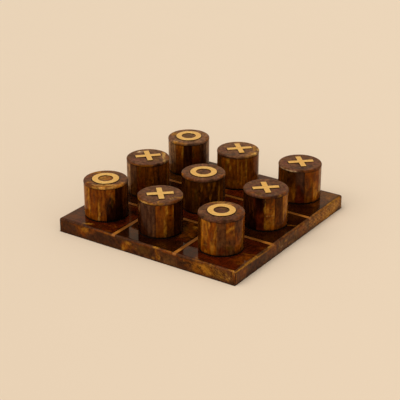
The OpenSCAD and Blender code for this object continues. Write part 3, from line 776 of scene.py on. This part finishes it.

# Each piece: its mark, where it stands (mm), turns of mark and staves (degrees), slip of the mark off the
# cap's middle (mm), tarnish of the brass, the cap's tone, the staves' tones from +X round by +Y (the top's
# and the foot's where they differ), and spots: on the staves by degrees round and mm up, on the cap by mm
# from its middle, turned by 34 degrees, and on its rim by mm round it and mm out
# Grey tones high on the staves at a piece's left and right sides, over darker feet, are painted reflection
# of the pale surround; the light rim spots are painted highlights along the cap's rounded edge
playingPieces = {
    "front_left": {
        "mark": "ring", "at": (-68.25, -65.95), "turns": (0, -3.8), "slip": (0, -0.1),
        "tarnish": 0.15, "cap": "mocha",
        "staves": "rust/umber umber amber rust black chestnut honey umber amber honey honey/amber "
                  "copper/amber copper amber/black umber/black",
        "staveSpots":
            "gold -102 19.8 .9 13 .8 6, taupe -84 23.6 .9 6 .7, gold -71 10.9 1.1 9 .75, "
            "straw -73 2.4 1 2.5 .5, umber -40 20.7 3 3 .5, honey -60 19.5 .7 11 .6, "
            "black -40 16.1 4.5 9 .9, dun -123 24.1 1.2 7 .6, honey -39 26.9 5.5 1.7 .9 -42, "
            "amber -48 31.3 3 1.4 .8, olive -37 19 .6 5 .8 3, rust -45 14.2 .5 5 .6, "
            "rust -6 22.3 .5 9 .7, chestnut 8 21.4 .6 7 .7, rust -95 2.8 3 1.6 .6",
        "capSpots":
            "honey 12.4 -15.3 14 6 .8, gold 10.9 -14.9 13 3 .7, straw 14.6 -9 4 1.6 .5, "
            "honey -14.7 6.9 4 1.6 .7, honey -9 13.7 3 1.2 .6, honey -7.4 -14.5 2 1.6 .6, "
            "gold 17.7 1 3 1 .6, umber 6.6 -15.5 3.5 .8 .7, amber 15.5 -13.2 5 2 .9, "
            "honey 6.9 -20.4 4 2.5 .85, gold 16.5 -8.3 3 1.5 .8, black 18.2 -2.1 2.2 1 .6 14, "
            "straw 20.2 -2.4 1.6 1.2 .5, gold -8.2 -15.8 1.6 1.2 .7, amber 1.6 -19.8 1.2 3 .6, "
            "amber -15.7 -2.6 3 3 .6, amber -15.5 4.9 4 1.5 .7, taupe 9.5 8.5 4 6 .6, "
            "clay -2.6 16.5 5 2 .5, clay 9 14 1 3 .4, taupe -15 -8 2.5 4 .7, gold -3.5 -1.1 4.5 5 .8, "
            "honey 1.2 2.9 3.5 5 .85, gold -17.3 7.2 6 1.8 .75, plum -15.8 -7.1 3 3 .6, "
            "slate 9.7 11.5 3 4 .6, straw 8.3 -13 9 .9 .6, straw -1.4 -17.5 2 1.2 .6",
        "rimSpotsAndHighlights":
            "tawny -27.4 20 5 2.2 .9, gold 55.8 20.6 9 1.4 .8, tawny -20.7 20.6 6 1.4 .9, "
            "tawny -13.1 20.6 5 1.4 .9, tawny -3.9 20 5 2.2 .9, gold -4.2 20.7 2.5 1.2 .6, "
            "tawny -6.6 21.75 6 .65 .8, gold -28.3 21.75 5 .65 .6, honey -21.5 21.9 8 .8 .5, "
            "straw -24 21.1 6 .7 .6, straw -13.2 21.1 4 .7 .6, umber -29.6 20.4 1.2 1.6 .7, "
            "umber -34.1 20.1 1.6 2 .6, umber -19.1 21 1.6 .8 .6, umber -10.2 20.9 1.4 1 .5, "
            "amber -39.1 19.8 4 2.4 .9, honey 65.9 20.4 4 1.6 .7, gold 59.1 20.4 5 1.6 .6, "
            "honey 51.7 20.7 5 1.2 .6, honey 50.2 21.2 14 .6 .8, dun 41.5 20.7 8 1.2 .5"},
    "front_middle": {
        "mark": "cross", "at": (-4.2, -66.05), "turns": (-2.8, 5.3), "slip": (-0.4, 0.5),
        "tarnish": 0, "cap": "mocha",
        "staves": "umber rust chestnut black amber umber rust honey umber umber/black ash/umber ash "
                  "amber/rust amber/chestnut umber",
        "staveSpots":
            "rust -126 20.3 .6 9 .9, umber -108 12.8 1 10 .7, honey -72 7.2 .8 8 .25, "
            "clay -122 26.5 2.4 4 .7, umber -123 19.8 2 3 .5, amber -32 12.7 3 4 .4, "
            "umber -53 30.8 1 3.5 .7 10, honey -47 20.6 1.1 9 .5 8, gold -39 28.4 1.3 6 .8, "
            "gold -43 9.3 1.2 9 .6, umber -29 22.2 1.8 .9 .8, russet -30 17.4 2.2 1.3 .6, "
            "russet -27 31.6 1.2 2.5 .7, gold -21 26 .4 6 .7, rust -59 12.6 1.8 8 .6",
        "capSpots":
            "rust -12.1 -13.5 3 6 .6, gold 17.5 2.1 5 .9 .7, straw 14.9 -3 2 1 .4, "
            "amber 22 -2.7 3 1.4 .7, black 21.6 .2 .8 .8 .6, gold 9 -15.5 .9 1.6 .8, "
            "taupe -16 5.9 4 3 .5, clay .7 11.6 5 4 .35, clay .3 -13.3 4 2 .3",
        "rimSpotsAndHighlights":
            "rust -51.8 20.4 6 1.6 .7, rust -44.5 20.9 8 1 .8, rust -33 20.9 6 1 .7, "
            "gold -44.1 21.75 4 .65 .7, straw -36.6 21.75 4 .65 .8, gold -30 21.75 5 .65 .8, "
            "clay 56.5 20.9 6 1 .4, clay 44.5 20.9 8 1 .4, clay 29 20.9 6 1 .5, gold -20.5 21 3 .8 .5, "
            "clay -10.4 21 3 .8 .6, rust -4 20.6 6 1.4 .8, gold 7.6 21.3 3 .5 .7, clay 47 21.2 14 .6 .4, "
            "rust -56.7 21 8 .8 .8, rust 61.4 21 6 .8 .5, clay 14.8 21 4 .8 .6"},
    "front_right": {
        "mark": "ring", "at": (62.85, -65.25), "turns": (0, 2.3), "slip": (-0.2, 0.5),
        "tarnish": 0.4, "cap": "cocoa",
        "staves": "amber/chestnut umber rust black amber chestnut umber honey rust chestnut honey/amber "
                  "amber taupe amber/taupe taupe/amber",
        "staveSpots":
            "gold -110 22.1 .7 10 .6, umber -105 11.8 2.5 4 .3, russet -81 20.4 3 4 .3, "
            "umber -12 4.9 4 2.5 .35, gold -94 22.2 .6 10 .5, taupe -102 8.3 1.8 3 .7, "
            "gold -103 8.5 3 .5 .4 15, gold -97 2.9 1.4 1.6 .5, gold -88 30.6 1.3 3.5 .8, "
            "russet -84 25.1 1.2 4 .55, taupe -81 17.4 1 4 .8, gold -73 19.9 .8 11 .6 -9, "
            "gold -80 7.6 2 4.5 .55, honey -69 14.2 .5 13 .7, russet -55 5 4 3.8 .85, "
            "amber -61 32.1 1.6 3 .3, gold -32 26.1 4.6 1.7 .75 28, honey -40 27.9 .8 7 .6, "
            "taupe -33 13.6 4.6 3.5 .85, olive -36 7.8 3.6 2.6 .7, gold -25 20.8 1 3 .4, "
            "ash -15 26.7 2.6 5.5 .85, amber -18 17.1 1 6 .8, honey -4 11.4 1.6 8 .45, "
            "gold 6 17.8 .7 13 .75, umber -11 1.9 6 1.8 .8 10",
        "capSpots":
            "amber -14.2 7.9 5 1.6 .8 44, straw -4.6 14.9 5 1.2 .6 19, honey .5 15.2 4 1.2 .7 14, "
            "clay 5.7 12.1 3 1.5 .6 4, amber 13.1 8 2.2 5 .7, rust 18.4 3.9 1.5 3 .7, "
            "olive 15.4 1.9 2 3 .6, olive -16.9 -4.4 2.5 4 .5, clay -14 -12.8 2 4 .5, "
            "olive -5.4 -18.5 3 2 .5, umber 6 -19.6 8 2 .4, umber 15.2 -11 6 3 .3, "
            "olive 1.1 5.1 3.5 4 .7, umber -2.9 -2.8 3 4 .4, gold -9.4 13.8 6 1.4 .8, "
            "amber 17.3 .6 2.5 1.5 .7, amber 14.6 9 1.5 2 .8",
        "rimSpotsAndHighlights":
            "honey 58.1 20.4 5 1.6 .8, gold 51.6 20.4 5 1.6 .85, gold 45.3 20.6 4 1.4 .6, "
            "honey 39 20.7 4 1.2 .6, honey 30 20.7 3 1.2 .5, black -41.4 21 2 .8 .6, "
            "rust -1.9 20.9 4 1 .8, amber 7.2 20.9 3 1 .8, rust 17.2 20.9 3 1 .7, umber 25 21 3 .8 .9, "
            "umber -20.6 21 4 .9 .6, clay -58 21 3 .8 .7, clay 66.8 21 3 .8 .6"},
    "middle_left": {
        "mark": "cross", "at": (-67.65, 1.5), "turns": (1, 10.4), "slip": (-0.8, 1.4),
        "tarnish": 0.4, "cap": "drab",
        "staves": "amber/rust amber umber rust black chestnut honey umber rust dun/clay taupe/chestnut "
                  "rust/russet rust rust/chestnut rust/chestnut",
        "staveSpots":
            "olive -77 27.1 .6 7 .8, rust -67 29.6 .7 5 .7, amber -47 26.5 .8 6 .8 3, "
            "honey -42 18.8 1 3.4 .6, amber -35 29.2 .6 6 .8, umber -55 28.7 .8 5 .7, "
            "black -25 22.1 1.2 9 .8, amber -15 25.5 .6 8 .7, amber -5 24.4 1.3 8 .5, "
            "gold 9 18.1 .5 10 .8, umber -120 .9 3 4 .7, umber -120 4.2 3 3 .5",
        "capSpots":
            "amber 14.6 10.1 1.2 6 .8, straw 12.2 10.1 1.3 8 .75, gold 6.6 15.9 .8 5 .7, "
            "straw 19.6 .9 1.2 2.5 .7, taupe -13.4 .8 2 2 .6, bone -14.2 5.7 2.6 1.8 .75 54, "
            "chestnut -14.1 -9.2 3 6 .5, black 18.8 -9.3 1.6 1.6 .7, olive 11.6 -1.4 3.5 3 .7, "
            "taupe 10.8 -9.7 3 2 .5, plum -3.6 -11.6 7 5 .75, plum 8.3 -14.5 6 2.5 .7, "
            "olive 8.1 2.5 3 3 .6, umber 11.3 -7.8 4 1.6 .5, clay -2.1 13.2 4 2 .5",
        "rimSpotsAndHighlights":
            "honey 57.4 20.9 6 1 .6, honey 47.8 21 6 .9 .6, amber 37.6 21 4 .9 .6, "
            "rust -47.2 20.9 5 1 .7, amber -33.5 21.4 7 .3 .8, amber -21 21.4 8 .3 .8, "
            "rust -21 21 4 .8 .8, umber -10.9 21 4 .8 .7, umber -1.4 21 3 .8 .6, gold 8.2 21 3 .8 .5, "
            "honey -20.9 21.75 5 .65 .8, honey -30.8 21.75 6 .65 .7, umber -12.8 21.75 4 .65 .7, "
            "black -7.7 20.9 2 1 .7, amber 10.9 20.7 3 1.2 .6, honey 49.8 21.2 14 .6 .8, "
            "straw 46.9 20.7 12 1.3 .5, dun 34.4 20.6 5 1.4 .7, amber 25.1 21.2 5 .6 .7"},
    "centre": {
        "mark": "ring", "at": (-0.3, 0.2), "turns": (0, 6.8), "slip": (0.5, -0.6),
        "tarnish": 0.35, "cap": "mocha",
        "staves": "chestnut rust umber amber black chestnut rust honey umber umber/chestnut "
                  "chestnut/umber chestnut chestnut/umber chestnut/umber chestnut/copper",
        "staveSpots":
            "rust -84 22.2 1 6 .9, amber -8 21.3 2 4 .5, rust -98 23.1 1.2 6.4 .49, "
            "olive -76 18.6 1 5.6 .56 4, honey -61 27.5 1 4 .42, amber -52 23.3 1.4 5.6 .42, "
            "amber -66 14.8 .8 3.2 .42, honey -42 28.3 1 4 .49, honey -29 28.6 1.2 4.8 .49 -10, "
            "honey -38 17.7 1.2 3.8 .55, umber -36 24.9 .9 6 .8 -8, chestnut -48 28.5 1.2 5 .5, "
            "gold -12 19.6 1.1 9 .45, honey 1 19.1 1.2 6.4 .42, umber -10 30.4 2.4 2 .7, "
            "umber -23 21.9 .8 6 .7",
        "capSpots":
            "rust .9 -19.2 4 1.6 .5, black 17.9 -12.1 3 1.6 .7, amber 19.7 .7 3 2.4 .7 64, "
            "olive 3.5 16.7 3 2 .7, umber -3.4 16.6 3 1.4 .5, taupe -16.1 .5 4 3 .5, "
            "olive 12.8 7.9 2 3 .6, olive 2 -3.8 5 3 .5",
        "rimSpotsAndHighlights":
            "rust -46.7 20.4 5 1.6 .7, amber -35.2 20.6 5 1.4 .6, rust -26 20.9 5 1 .6, "
            "clay -56.1 20.6 4 1.4 .6, black -12.4 20.9 3 1 .6, honey 7.5 21 4 .9 .6, "
            "clay 55.1 21 6 .8 .5, clay 42 21 6 .8 .5, amber -50.8 21 4 .9 .7, amber -36.4 21 6 .9 .5, "
            "honey -49.5 21 3 .9 .5, taupe -13.7 21.75 4 .65 .7, umber -5.2 21.75 4 .65 .7"},
    "middle_right": {
        "mark": "cross", "at": (69.25, 1.6), "turns": (-2.4, -10.9), "slip": (0.2, -0.7),
        "tarnish": 0.8, "cap": "cocoa",
        "staves": "honey/rust honey/chestnut umber rust chestnut black amber umber rust umber "
                  "umber/black umber/black black/russet amber chestnut/rust",
        "staveSpots":
            "rust -104 22.7 .6 7 .6 8, rust -94 21.8 .9 7 .5 10, russet -89 28.4 .8 4 .8, "
            "umber -109 11.8 .7 5 .9, black -73 28.5 4.6 8 .9, russet -72 13.3 4.2 5.2 1, "
            "rust -68 16 1.4 2.4 .55, black -72 5 4.5 2.4 .6, chestnut -51 30.9 4.2 3.5 .9, "
            "chestnut -48 27.3 4.2 3 .5, chestnut -25 20.4 3 3 .45, gold -55 21.3 2.6 3.4 .5, "
            "gold -41 19.4 1.4 5 .4, chestnut -43 24.8 1.6 1.2 .6, straw -49 15.4 3.4 .35 .45, "
            "gold -50 8.4 4 5 .35, gold -37 14.1 .5 10 .6, gold -60 17.7 .4 14 .5, "
            "chestnut -26 28.6 3.2 5.4 .9, dun 14 25.6 1.2 5 .4, amber -29 16.6 1.2 7 .5, "
            "umber -19 17.8 1 9 .6, gold -6 14.2 .8 9 .6, gold 7 20.5 .9 11 .5, amber -3 5.5 3 3 .7",
        "capSpots":
            "amber -4.7 -17.2 3.5 1.8 .8 19, honey 2.7 -17.8 2.6 1.8 .6, olive 4.6 -21.9 3 1 .6, "
            "gold 20.7 -8.3 2.4 1.8 .6 54, rust 13.3 -17.4 1 1.6 .8, black 7.5 -15.9 2 2 .4, "
            "clay -17.1 1.1 4 3 .4, taupe .5 15.8 4 3 .5, slate 13.4 -13.2 5 2.4 .8, "
            "olive 1.5 -15.8 3 2 .7, plum 13.5 4.8 3 4 .6",
        "rimSpotsAndHighlights":
            "amber -1.2 20.6 3 1.4 .6, umber -18.8 21.3 4 .5 .6, umber -50.1 20.7 4 1.2 .5, "
            "umber -12.4 21 4 .9 .6, clay 26.4 21 5 .9 .5, clay 34.3 21 5 .9 .5, "
            "clay 43.3 20.7 9 1.2 .6, amber -21 21.75 4 .65 .6, rust -39.7 20.9 3 1 .6"},
    "back_left": {
        "mark": "ring", "at": (-65.15, 69.85), "turns": (0, 1.2), "slip": (-0.3, 0.3),
        "tarnish": 0.3, "cap": "fawn",
        "staves": "dun/ash rust umber amber black chestnut honey umber rust dun/taupe clay/chestnut "
                  "amber/umber umber/umber rust/umber taupe/umber",
        "staveSpots":
            "ash -105 20.1 .8 10 .8, dun -105 21.3 3 4 .4, honey -98 24.2 .6 9 .5, "
            "honey -81 30.8 3.6 .6 .7, gold -73 26 .9 6 .75, rust -86 15.3 2.8 4 .7, "
            "ash -58 26.4 .7 7 .5, black -51 19.7 .6 6 .7, clay -104 22.5 1.4 5 .5, "
            "amber -35 27.5 3.2 5 .55, olive -43 25.1 .6 6 .8, russet -35 17 4 3 .7, "
            "black -14 23.1 1.4 9 .7",
        "capSpots":
            "amber -15.3 -4 3 3 .7, black -10 -10.7 1 2 .7, gold -2.2 -20 2.6 1.6 .85, "
            "honey -4.4 -23.5 1.6 1.6 .8, amber 5.3 -21 2.4 1.8 .8, black 1.5 -20.2 1 1.6 .6, "
            "black 4.9 -15.9 1.5 1 .6, amber 15 7.8 2 3 .7, honey 7.7 14.9 2.4 2 .5, "
            "ash 18.3 -11.9 4 1.5 .7, clay .6 -.5 4 3 .4, slate 17.1 -13.7 7 2 .6, olive -.8 .6 5 5 .8, "
            "slate -2.4 3 5 3 .5, ash 10 -12.5 5 2.5 .5, clay 16.4 1.9 2 2 .7, gold -14.7 -3.9 3 3 .85, "
            "plum -10.5 -14.5 2.5 3 .6, straw -2.3 -18.1 1 1.4 .8, straw -5.6 -19.6 1 1 .6, "
            "dun 13.4 10.1 1.5 2.5 .5, dun 6.9 16.1 3 1.2 .5, dun -.7 16.2 3 1.2 .5, "
            "gold -17.3 -.2 2.5 1.5 .6, honey 3.2 -18.8 3 1.5 .5",
        "rimSpotsAndHighlights":
            "gold -66.4 20.4 5 1.6 .8, amber 58.5 20.6 4 1.4 .7, rust -58.1 20.4 3 1.6 .7, "
            "honey -33.5 21 3 .8 .6, gold -25.4 21 3 .8 .5, amber 4.2 20.6 4 1.4 .5, "
            "umber -17.9 21 5 .9 .7, honey 45.1 20.7 10 1.2 .6, gold 60.2 21 10 .8 .8, "
            "clay 42.1 21.3 10 .5 .7, honey 25.2 21.2 5 .6 .6, honey 5.7 20.9 3 1 .6"},
    "back_middle": {
        "mark": "cross", "at": (-3.9, 68.45), "turns": (-0.3, 11.3), "slip": (0.3, 1.8),
        "tarnish": 0.8, "cap": "drab",
        "staves": "dun/clay rust umber honey black chestnut rust umber amber chestnut copper/rust "
                  "copper/rust copper/amber copper amber",
        "staveSpots":
            "gold -86 31 1.3 3.4 .7, amber -95 20.4 3 4 .4, amber -26 12 3 3 .35, "
            "gold -80 23.8 1 3.6 .55, olive -92 24 1 8 .7, rust -72 22.1 1.6 6 .7, "
            "gold -58 25.7 .7 8 .5, gold -48 20.2 .7 12 .4, gold -35 22.9 1.1 10 .6, "
            "amber -25 20 2.2 9 .35, honey -45 14.7 1.6 6 .35, honey -67 32 .8 4 .6, "
            "honey -56 7.2 5.5 3 .6, honey -81 7.5 1.5 4 .6, umber -57 6.1 1.4 1 .7, "
            "honey -41 15.6 .8 5 .6",
        "capSpots":
            "plum 8.3 -15.1 3 1.2 .4, honey 18.5 -4.1 3.5 1.2 .6 64, gold 14.4 8.3 1.2 4 .6, "
            "olive 5 -17.3 3 1.4 .6, clay -12.1 1.9 3 2 .5, umber 15 -14.6 3 1 .5, dun 15.6 -8 4 1.4 .7, "
            "dun 16.6 1.7 2.5 2 .7, gold 14.1 9.7 1.5 3 .7, clay -.7 16.2 4 1 .7, dun -8.5 13.3 5 1 .6, "
            "clay -14.6 5.9 5 1 .7, clay -16.4 -2.6 4 1 .6, plum -11.2 -8.9 4 5 .7, "
            "slate 1.9 -16.2 6 2.4 .75, gold 11.8 11.5 2 4 .7, gold 17.6 -1.8 4 2 .6, "
            "dun 15.7 -10.1 4 1.4 .6",
        "rimSpotsAndHighlights":
            "honey 43.6 21 6 .9 .7, gold 34.4 20.7 5 1.2 .7, gold 23.3 20.6 4 1.4 .8, "
            "straw 10.9 20.5 4 1.5 .8, straw -1.6 20.5 4 1.5 .75, gold -10.6 20.7 3.5 1.2 .7, "
            "amber 56.5 21 5 .9 .7, amber -61.9 21 4 .9 .4, umber -39.7 20.7 5 1.2 .6, "
            "umber -35.8 21.75 5 .65 .9, umber -28.4 21.75 5 .65 .8, rust -20.6 21.75 4 .65 .7, "
            "honey -12.3 21.75 4 .65 .6, honey -5.1 21.75 4 .65 .7, clay -20.5 21 4 .9 .7, "
            "dun -11.4 21 3 .9 .6, straw 45.6 20.7 16 1.3 .6, amber -61 21.2 5 .6 .5"},
    "back_right": {
        "mark": "cross", "at": (65.25, 73.25), "turns": (-1.5, 0.6), "slip": (0, 1.1),
        "tarnish": 0.6, "cap": "mocha",
        "staves": "dun/rust umber amber rust black umber honey chestnut rust rust chestnut chestnut/rust "
                  "ash/russet amber/rust amber",
        "staveSpots":
            "rust -111 26.9 1.4 5 .8, umber -100 16.4 1 6 .6, umber -117 18.6 .7 7 .6, "
            "umber -84 23.8 3.2 4.2 .85, honey -76 11.1 1.8 6 .75, rust -86 9.3 1.2 5 .7, "
            "amber -73 22.9 .5 6 .6, ash -59 26.5 3.8 8 .9, russet -61 14.8 1.6 6 .7, "
            "umber -51 11.6 2.2 5 .7, amber -37 30.2 3.4 3.4 .7, taupe -39 20.8 1.6 5 .8, "
            "umber -37 10 2.2 3.2 .7, gold -36 5.7 2.4 1.6 .2, gold -43 14.6 .6 5 .2, dun 14 8.6 1 5 .5, "
            "straw 8 12.2 2.5 4 .45, gold -19 17.2 2 4 .3, olive -28 15.9 .7 7 .8, "
            "tawny -16 13.7 1.8 8 .8 -4, gold -18 10.7 1 5 .7, honey -6 11.4 1.2 6 .6, "
            "gold -10 7.6 2.2 4.5 .6, rust 0 13.9 .8 4 .8, taupe -16 26.5 2.4 4.6 .7, "
            "honey -24 32.5 1 3 .6",
        "capSpots":
            "gold -9.3 9.1 1.2 1.6 .7, umber 10.6 -13 5 2 .5, clay -12.9 4.5 4 2 .35, "
            "clay 3.2 12.1 3 2 .3, plum -10.5 -9.5 4 5 .7, slate 8 -12.3 7 3 .75, umber 3.3 -.2 9 6 .15, "
            "slate 12 -3.6 4 3 .5, slate -11.5 3.9 3 2 .5, plum 11.5 5.3 4 4 .6, umber 8.6 -13.4 5 1.5 .4",
        "rimSpotsAndHighlights":
            "rust -38 21.2 6 .6 .6, clay -41.5 21.3 4 .4 .8, dun -39.9 21.75 3 .5 .7, "
            "bone -43.7 21.75 3 .45 .6, bone -34.5 21.75 4 .5 .7, bone -28.6 21.75 4 .5 .45, "
            "umber -20.4 21 4 .9 .6, rust -11.5 21 4 .9 .4, amber -13.3 21.75 5 .65 .7, "
            "amber -6.5 21.75 5 .65 .7, rust -13.7 21.2 7 .6 .8, rust -.1 21.2 5 .6 .8, "
            "umber 44.7 21.2 7 .6 .4, clay 44.7 20.7 14 1.2 .8, clay 18.2 21.3 4 .5 .7"},
}


def toneColumn(words, count, lift):
    # One colour per stave and height: the first word's tone at the top, the second's at the bottom
    pairs = [(word + "/" + word).split("/")[:2] for word in words.split()]
    top, foot = (np.array([hornTones[pair[n]] for pair in (pairs + pairs)[:count]]) for n in (0, 1))
    return foot[:, None] + (top - foot)[:, None] * smooth(lift)[None, :, None]


def buildStaves(name, piece, size):
    # Cross-section: inner arc, then the outer arc with rounded corners, r = R(1 - k + k cos h / cos d);
    # it is carried up the piece, drawn in at its foot and at its head. Its colour is its tones from top
    # to foot, times e^(waver * ripple), under its spots, and darker at both ends: under the cap, and with
    # painted shade at the foot
    atX, atY = piece["at"]
    count, k = size["staves"], size["flatness"]
    step = 360 / count
    half = math.radians(step) / 2 - size["gap"] / 2 / size["staveRadius"]
    edge, cut = np.array(size["staveEdge"]).T
    face, points = size["face"]
    across = np.concatenate([-edge, np.linspace(-face, face, points), edge[::-1], size["staveBack"]])
    inset = np.concatenate([cut, np.zeros(points), cut[::-1], [cut[0], cut[0]]])
    ends, drawIn = np.array(size["staveEnds"]).T
    level = np.concatenate([ends[:4], np.linspace(*size["staveRows"]), ends[4:]])
    drawn = np.interp(level, ends, drawIn)
    dice = np.random.default_rng(abs(int(atX * 10)) + 7 * abs(int(atY * 10)))
    swell = dice.uniform(*size["swell"], count)
    away = across * half
    outer = size["staveRadius"] * (1 - k + k * math.cos(half) / np.cos(away))
    radius = outer - inset + (swell[:, None, None] - drawn[None, :, None]) * (inset < 1)
    middle = np.radians(piece["turns"][1] + step * (np.arange(count) + 0.5))
    angle = middle[:, None, None] + away + 0 * radius
    v = level[None, :, None] + 0 * radius
    x, y, z = atX + radius * np.cos(angle), atY + radius * np.sin(angle), size["footTop"] + v
    degrees = (np.degrees(angle) + 180) % 360 - 180
    perDegree = math.radians(size["staveRadius"])
    u = degrees * perDegree
    unseen, over = size["unseen"]
    behind = smooth((abs((degrees - size["seenFrom"] + 180) % 360 - 180) - unseen) / over)
    seed = 15 + int(dice.integers(90))
    colour = toneColumn(piece["staves"], count, level / level[-1])[:, :, None] + 0 * radius[..., None]
    high = v / size["patch"]
    colour = mottle(colour, u, high, "honey umber amber", size=6, share=size["mottle"] * behind, seed=seed)
    colour = colour * np.exp(ripple(u, high, 6, seed + 50)[..., None] * size["waver"])
    colour = stain(colour, u, v, piece["staveSpots"], seed=5, draw=3, unit=perDegree)
    rise = v + 0.25 * ripple(u, z, 9, 3)
    # Darker under the cap, and painted shade at the foot
    (head, headOver), (foot, footOver), low = size["headFade"], size["footShade"], size["endTone"]
    shade = low + (1 - low) * smooth((head - rise) / headOver) * smooth((rise - foot) / footOver)
    depth = 17.3 * np.arange(count)[:, None, None] + 61.7 * abs(atX) + 13.1 * atY   # each has its own
    grain = np.stack([np.degrees(angle) * perDegree, z, depth + 0 * z], axis=-1)
    makePiece(name + "_staveRing", np.stack([x, y, z], axis=-1), name + "_piece",
              staveHorn, [name + "_staves"], colour * shade[..., None], grain)


def fullTurn(sides):
    # Angles all the way round, in radians
    return np.radians(np.arange(sides) * 360 / sides)


def markLoop(piece, size, grow, shrink=1):
    # Outline round the mark, grown by grow: a circle, or the cross as 12 straight sides in 8 turns
    if piece["mark"] == "ring":
        whole = (size["ringOuter"] + grow) * np.exp(1j * fullTurn(size["ringSides"]))
    else:
        length, width = size["armLength"] + grow, size["armHalf"] + grow
        x = np.concatenate([np.full(4, length), length * (width / length) ** np.linspace(0, 1, 9)[1:]])
        y = np.concatenate([np.linspace(0, width, 4), np.full(8, width)])
        eighth = x + 1j * y
        quarter = np.concatenate([eighth, 1j * np.conj(eighth[:-1])[::-1]])[:-1]
        whole = np.concatenate([quarter * 1j ** n for n in range(4)])
        whole = whole * np.exp(1j * math.radians(45 + piece["turns"][0]))
    slipX, slipY = piece["slip"]
    return whole.real * shrink + slipX, whole.imag * shrink + slipY


def buildCap(name, piece, size):
    # Rings from the middle of the underside out, up the side, over the rounded edge, in to the
    # pocket's rim, down its wall and over its floor; a ring's island rises again in the middle.
    # Rim spots, the light ones painted highlights along the rounded edge, lie at arc = R atan2(y, x) and at
    # the radius plus the depth below the rounded edge, and the rings near the pocket's floor are black,
    # painted shade in the gap round the mark
    atX, atY = piece["at"]
    slipX, slipY = piece["slip"]
    low, top, full, edge, gap, pocket = (size[key] for key in ("capBase", "capTop", "capRadius", "capEdge",
                                                               "pocketGap", "pocket"))
    rim = markLoop(piece, size, gap)
    angle = np.arctan2(rim[1], rim[0])
    bend = np.radians(np.linspace(0, 90, 9))
    inset, rise = np.array(size["capFoot"]).T
    flat, side = full - edge, top - edge
    reach = np.concatenate([size["capUnder"], full - inset, [full], flat + edge * np.cos(bend)])[:, None]
    high = np.concatenate([[low, low], low + rise, [0.5 * (low + side + rise[-1])],
                           side + edge * np.sin(bend)])[:, None]
    share = np.linspace(0, 1, 15)[1:, None]
    topX = flat * np.cos(angle) * (1 - share) + rim[0] * share
    topY = flat * np.sin(angle) * (1 - share) + rim[1] * share
    dome = size["crown"] * (1 - (np.hypot(topX, topY) / flat) ** 2)
    wallTaper, floorGrow, floorShare = size["tapers"]
    wall = markLoop(piece, size, gap - wallTaper)
    floor = markLoop(piece, size, floorGrow, floorShare)
    x = [reach * np.cos(angle), topX, [wall[0], floor[0]]]
    y = [reach * np.sin(angle), topY, [wall[1], floor[1]]]
    z = [high + 0 * x[0], top + dome, [0 * wall[0] + top - size["pocketLip"], 0 * wall[0] + pocket]]
    if piece["mark"] == "ring":
        turn = fullTurn(size["ringSides"])
        hole, level = np.array(size["island"]).T[..., None]
        x.append(slipX + (size["ringHole"] - hole) * np.cos(turn))
        y.append(slipY + (size["ringHole"] - hole) * np.sin(turn))
        z.append(level * (top - pocket) + pocket + 0 * turn)
    floorRow = len(x[0]) + len(x[1]) + 1
    x, y, z = (np.concatenate(rows) for rows in (x, y, z))
    seed = 11 + int(abs(atX) + 3 * abs(atY))
    colour = mottle(plain(x, piece["cap"]), x, y, "slate olive plum clay", size=7, share=0.45, seed=seed)
    colour = stain(colour, x, y, piece["capSpots"], seed, turn=34)
    outward = np.hypot(x, y) + (side - z).clip(0, 1)
    # Rim spots: the light ones are painted highlights along the rounded edge
    colour = stain(colour, np.arctan2(y, x) * full, outward, piece["rimSpotsAndHighlights"], seed + 9)
    # Painted shade: the rings near the pocket's floor go black, a dark line in the gap round the mark
    gapShade = np.interp(abs(np.arange(len(x)) - floorRow), [2, 3, 4], [1, 0.7, 0])
    colour = blend(colour, hornTones["black"], gapShade[:, None] + 0 * x)
    grain = np.stack([x, y, z + atX * 3.1 + atY * 1.7], axis=-1)    # each cap has its own
    grid = np.stack([x + atX, y + atY, z], axis=-1)
    makePiece(name + "_capDisc", grid[None], name + "_piece", capHorn, [name + "_cap"],
              colour[None], grain[None])


def buildMark(name, piece, size):
    # Brass mark: its outline carried up from the pocket's floor, with a small round along the top;
    # tarnish lies in patches, where a ripple on its face is high, and its sides darken with painted shade
    kind, (atX, atY), (slipX, slipY) = piece["mark"], piece["at"], piece["slip"]
    top, low, bevel = size["markTop"], size["pocket"], size["markBevel"]
    turn = np.radians(np.linspace(0, 90, 5))
    grow = np.concatenate([[0, 0], bevel * (np.cos(turn) - 1)])
    high = np.concatenate([[low, 0.5 * (low + top)], top - bevel + bevel * np.sin(turn)])
    if kind == "ring":
        angle = fullTurn(size["ringSides"])
        reach = np.concatenate([size["ringOuter"] + grow, size["ringRows"],
                                (size["ringHole"] - grow)[::-1]])[:, None]
        x, y = slipX + reach * np.cos(angle), slipY + reach * np.sin(angle)
        level = np.concatenate([high, [top] * 3, high[::-1]])
    else:
        loops = [markLoop(piece, size, g) for g in grow]
        loops += [markLoop(piece, size, -bevel, share) for share in size["crossRows"]]
        x, y = np.array(loops).transpose(1, 0, 2)
        level = np.concatenate([high, [top] * 3])
    z = level[:, None] + 0 * x
    lay = np.exp(-1j * math.radians(piece["turns"][0] + size["brushTurn"])) * (x + 1j * y)
    patch = smooth((ripple(lay.real, lay.imag, 4, 5 + int(abs(atX))) + 0.3) / 0.9)
    worn = blend(np.ones(x.shape + (3,)), size["wornTint"], piece["tarnish"] * patch)
    # Painted shade on the mark's sides, below its rounded top
    depth, over = size["wallShadeDepth"]
    tint = blend(np.array(size["wallShade"]) + 0 * worn, worn, smooth((z - top + depth) / over))
    grain = np.stack([lay.real, lay.imag, z + atX * 2.3 + atY * 0.9], axis=-1)
    grid = np.stack([x + atX, y + atY, z], axis=-1)
    makePiece(name + "_brass" + kind.title(), grid[None], name + "_piece", markBrass,
              [name + "_" + kind], tint[None], grain[None], wrap=kind == "ring", sharp=50)


for name, piece in playingPieces.items():
    buildStaves(name, piece, pieceSizes)
    buildCap(name, piece, pieceSizes)
    buildMark(name, piece, pieceSizes)
    dress(name + "_foot", blackFelt)
    dress(name + "_wood", coreWood)
print("nine playing pieces built")
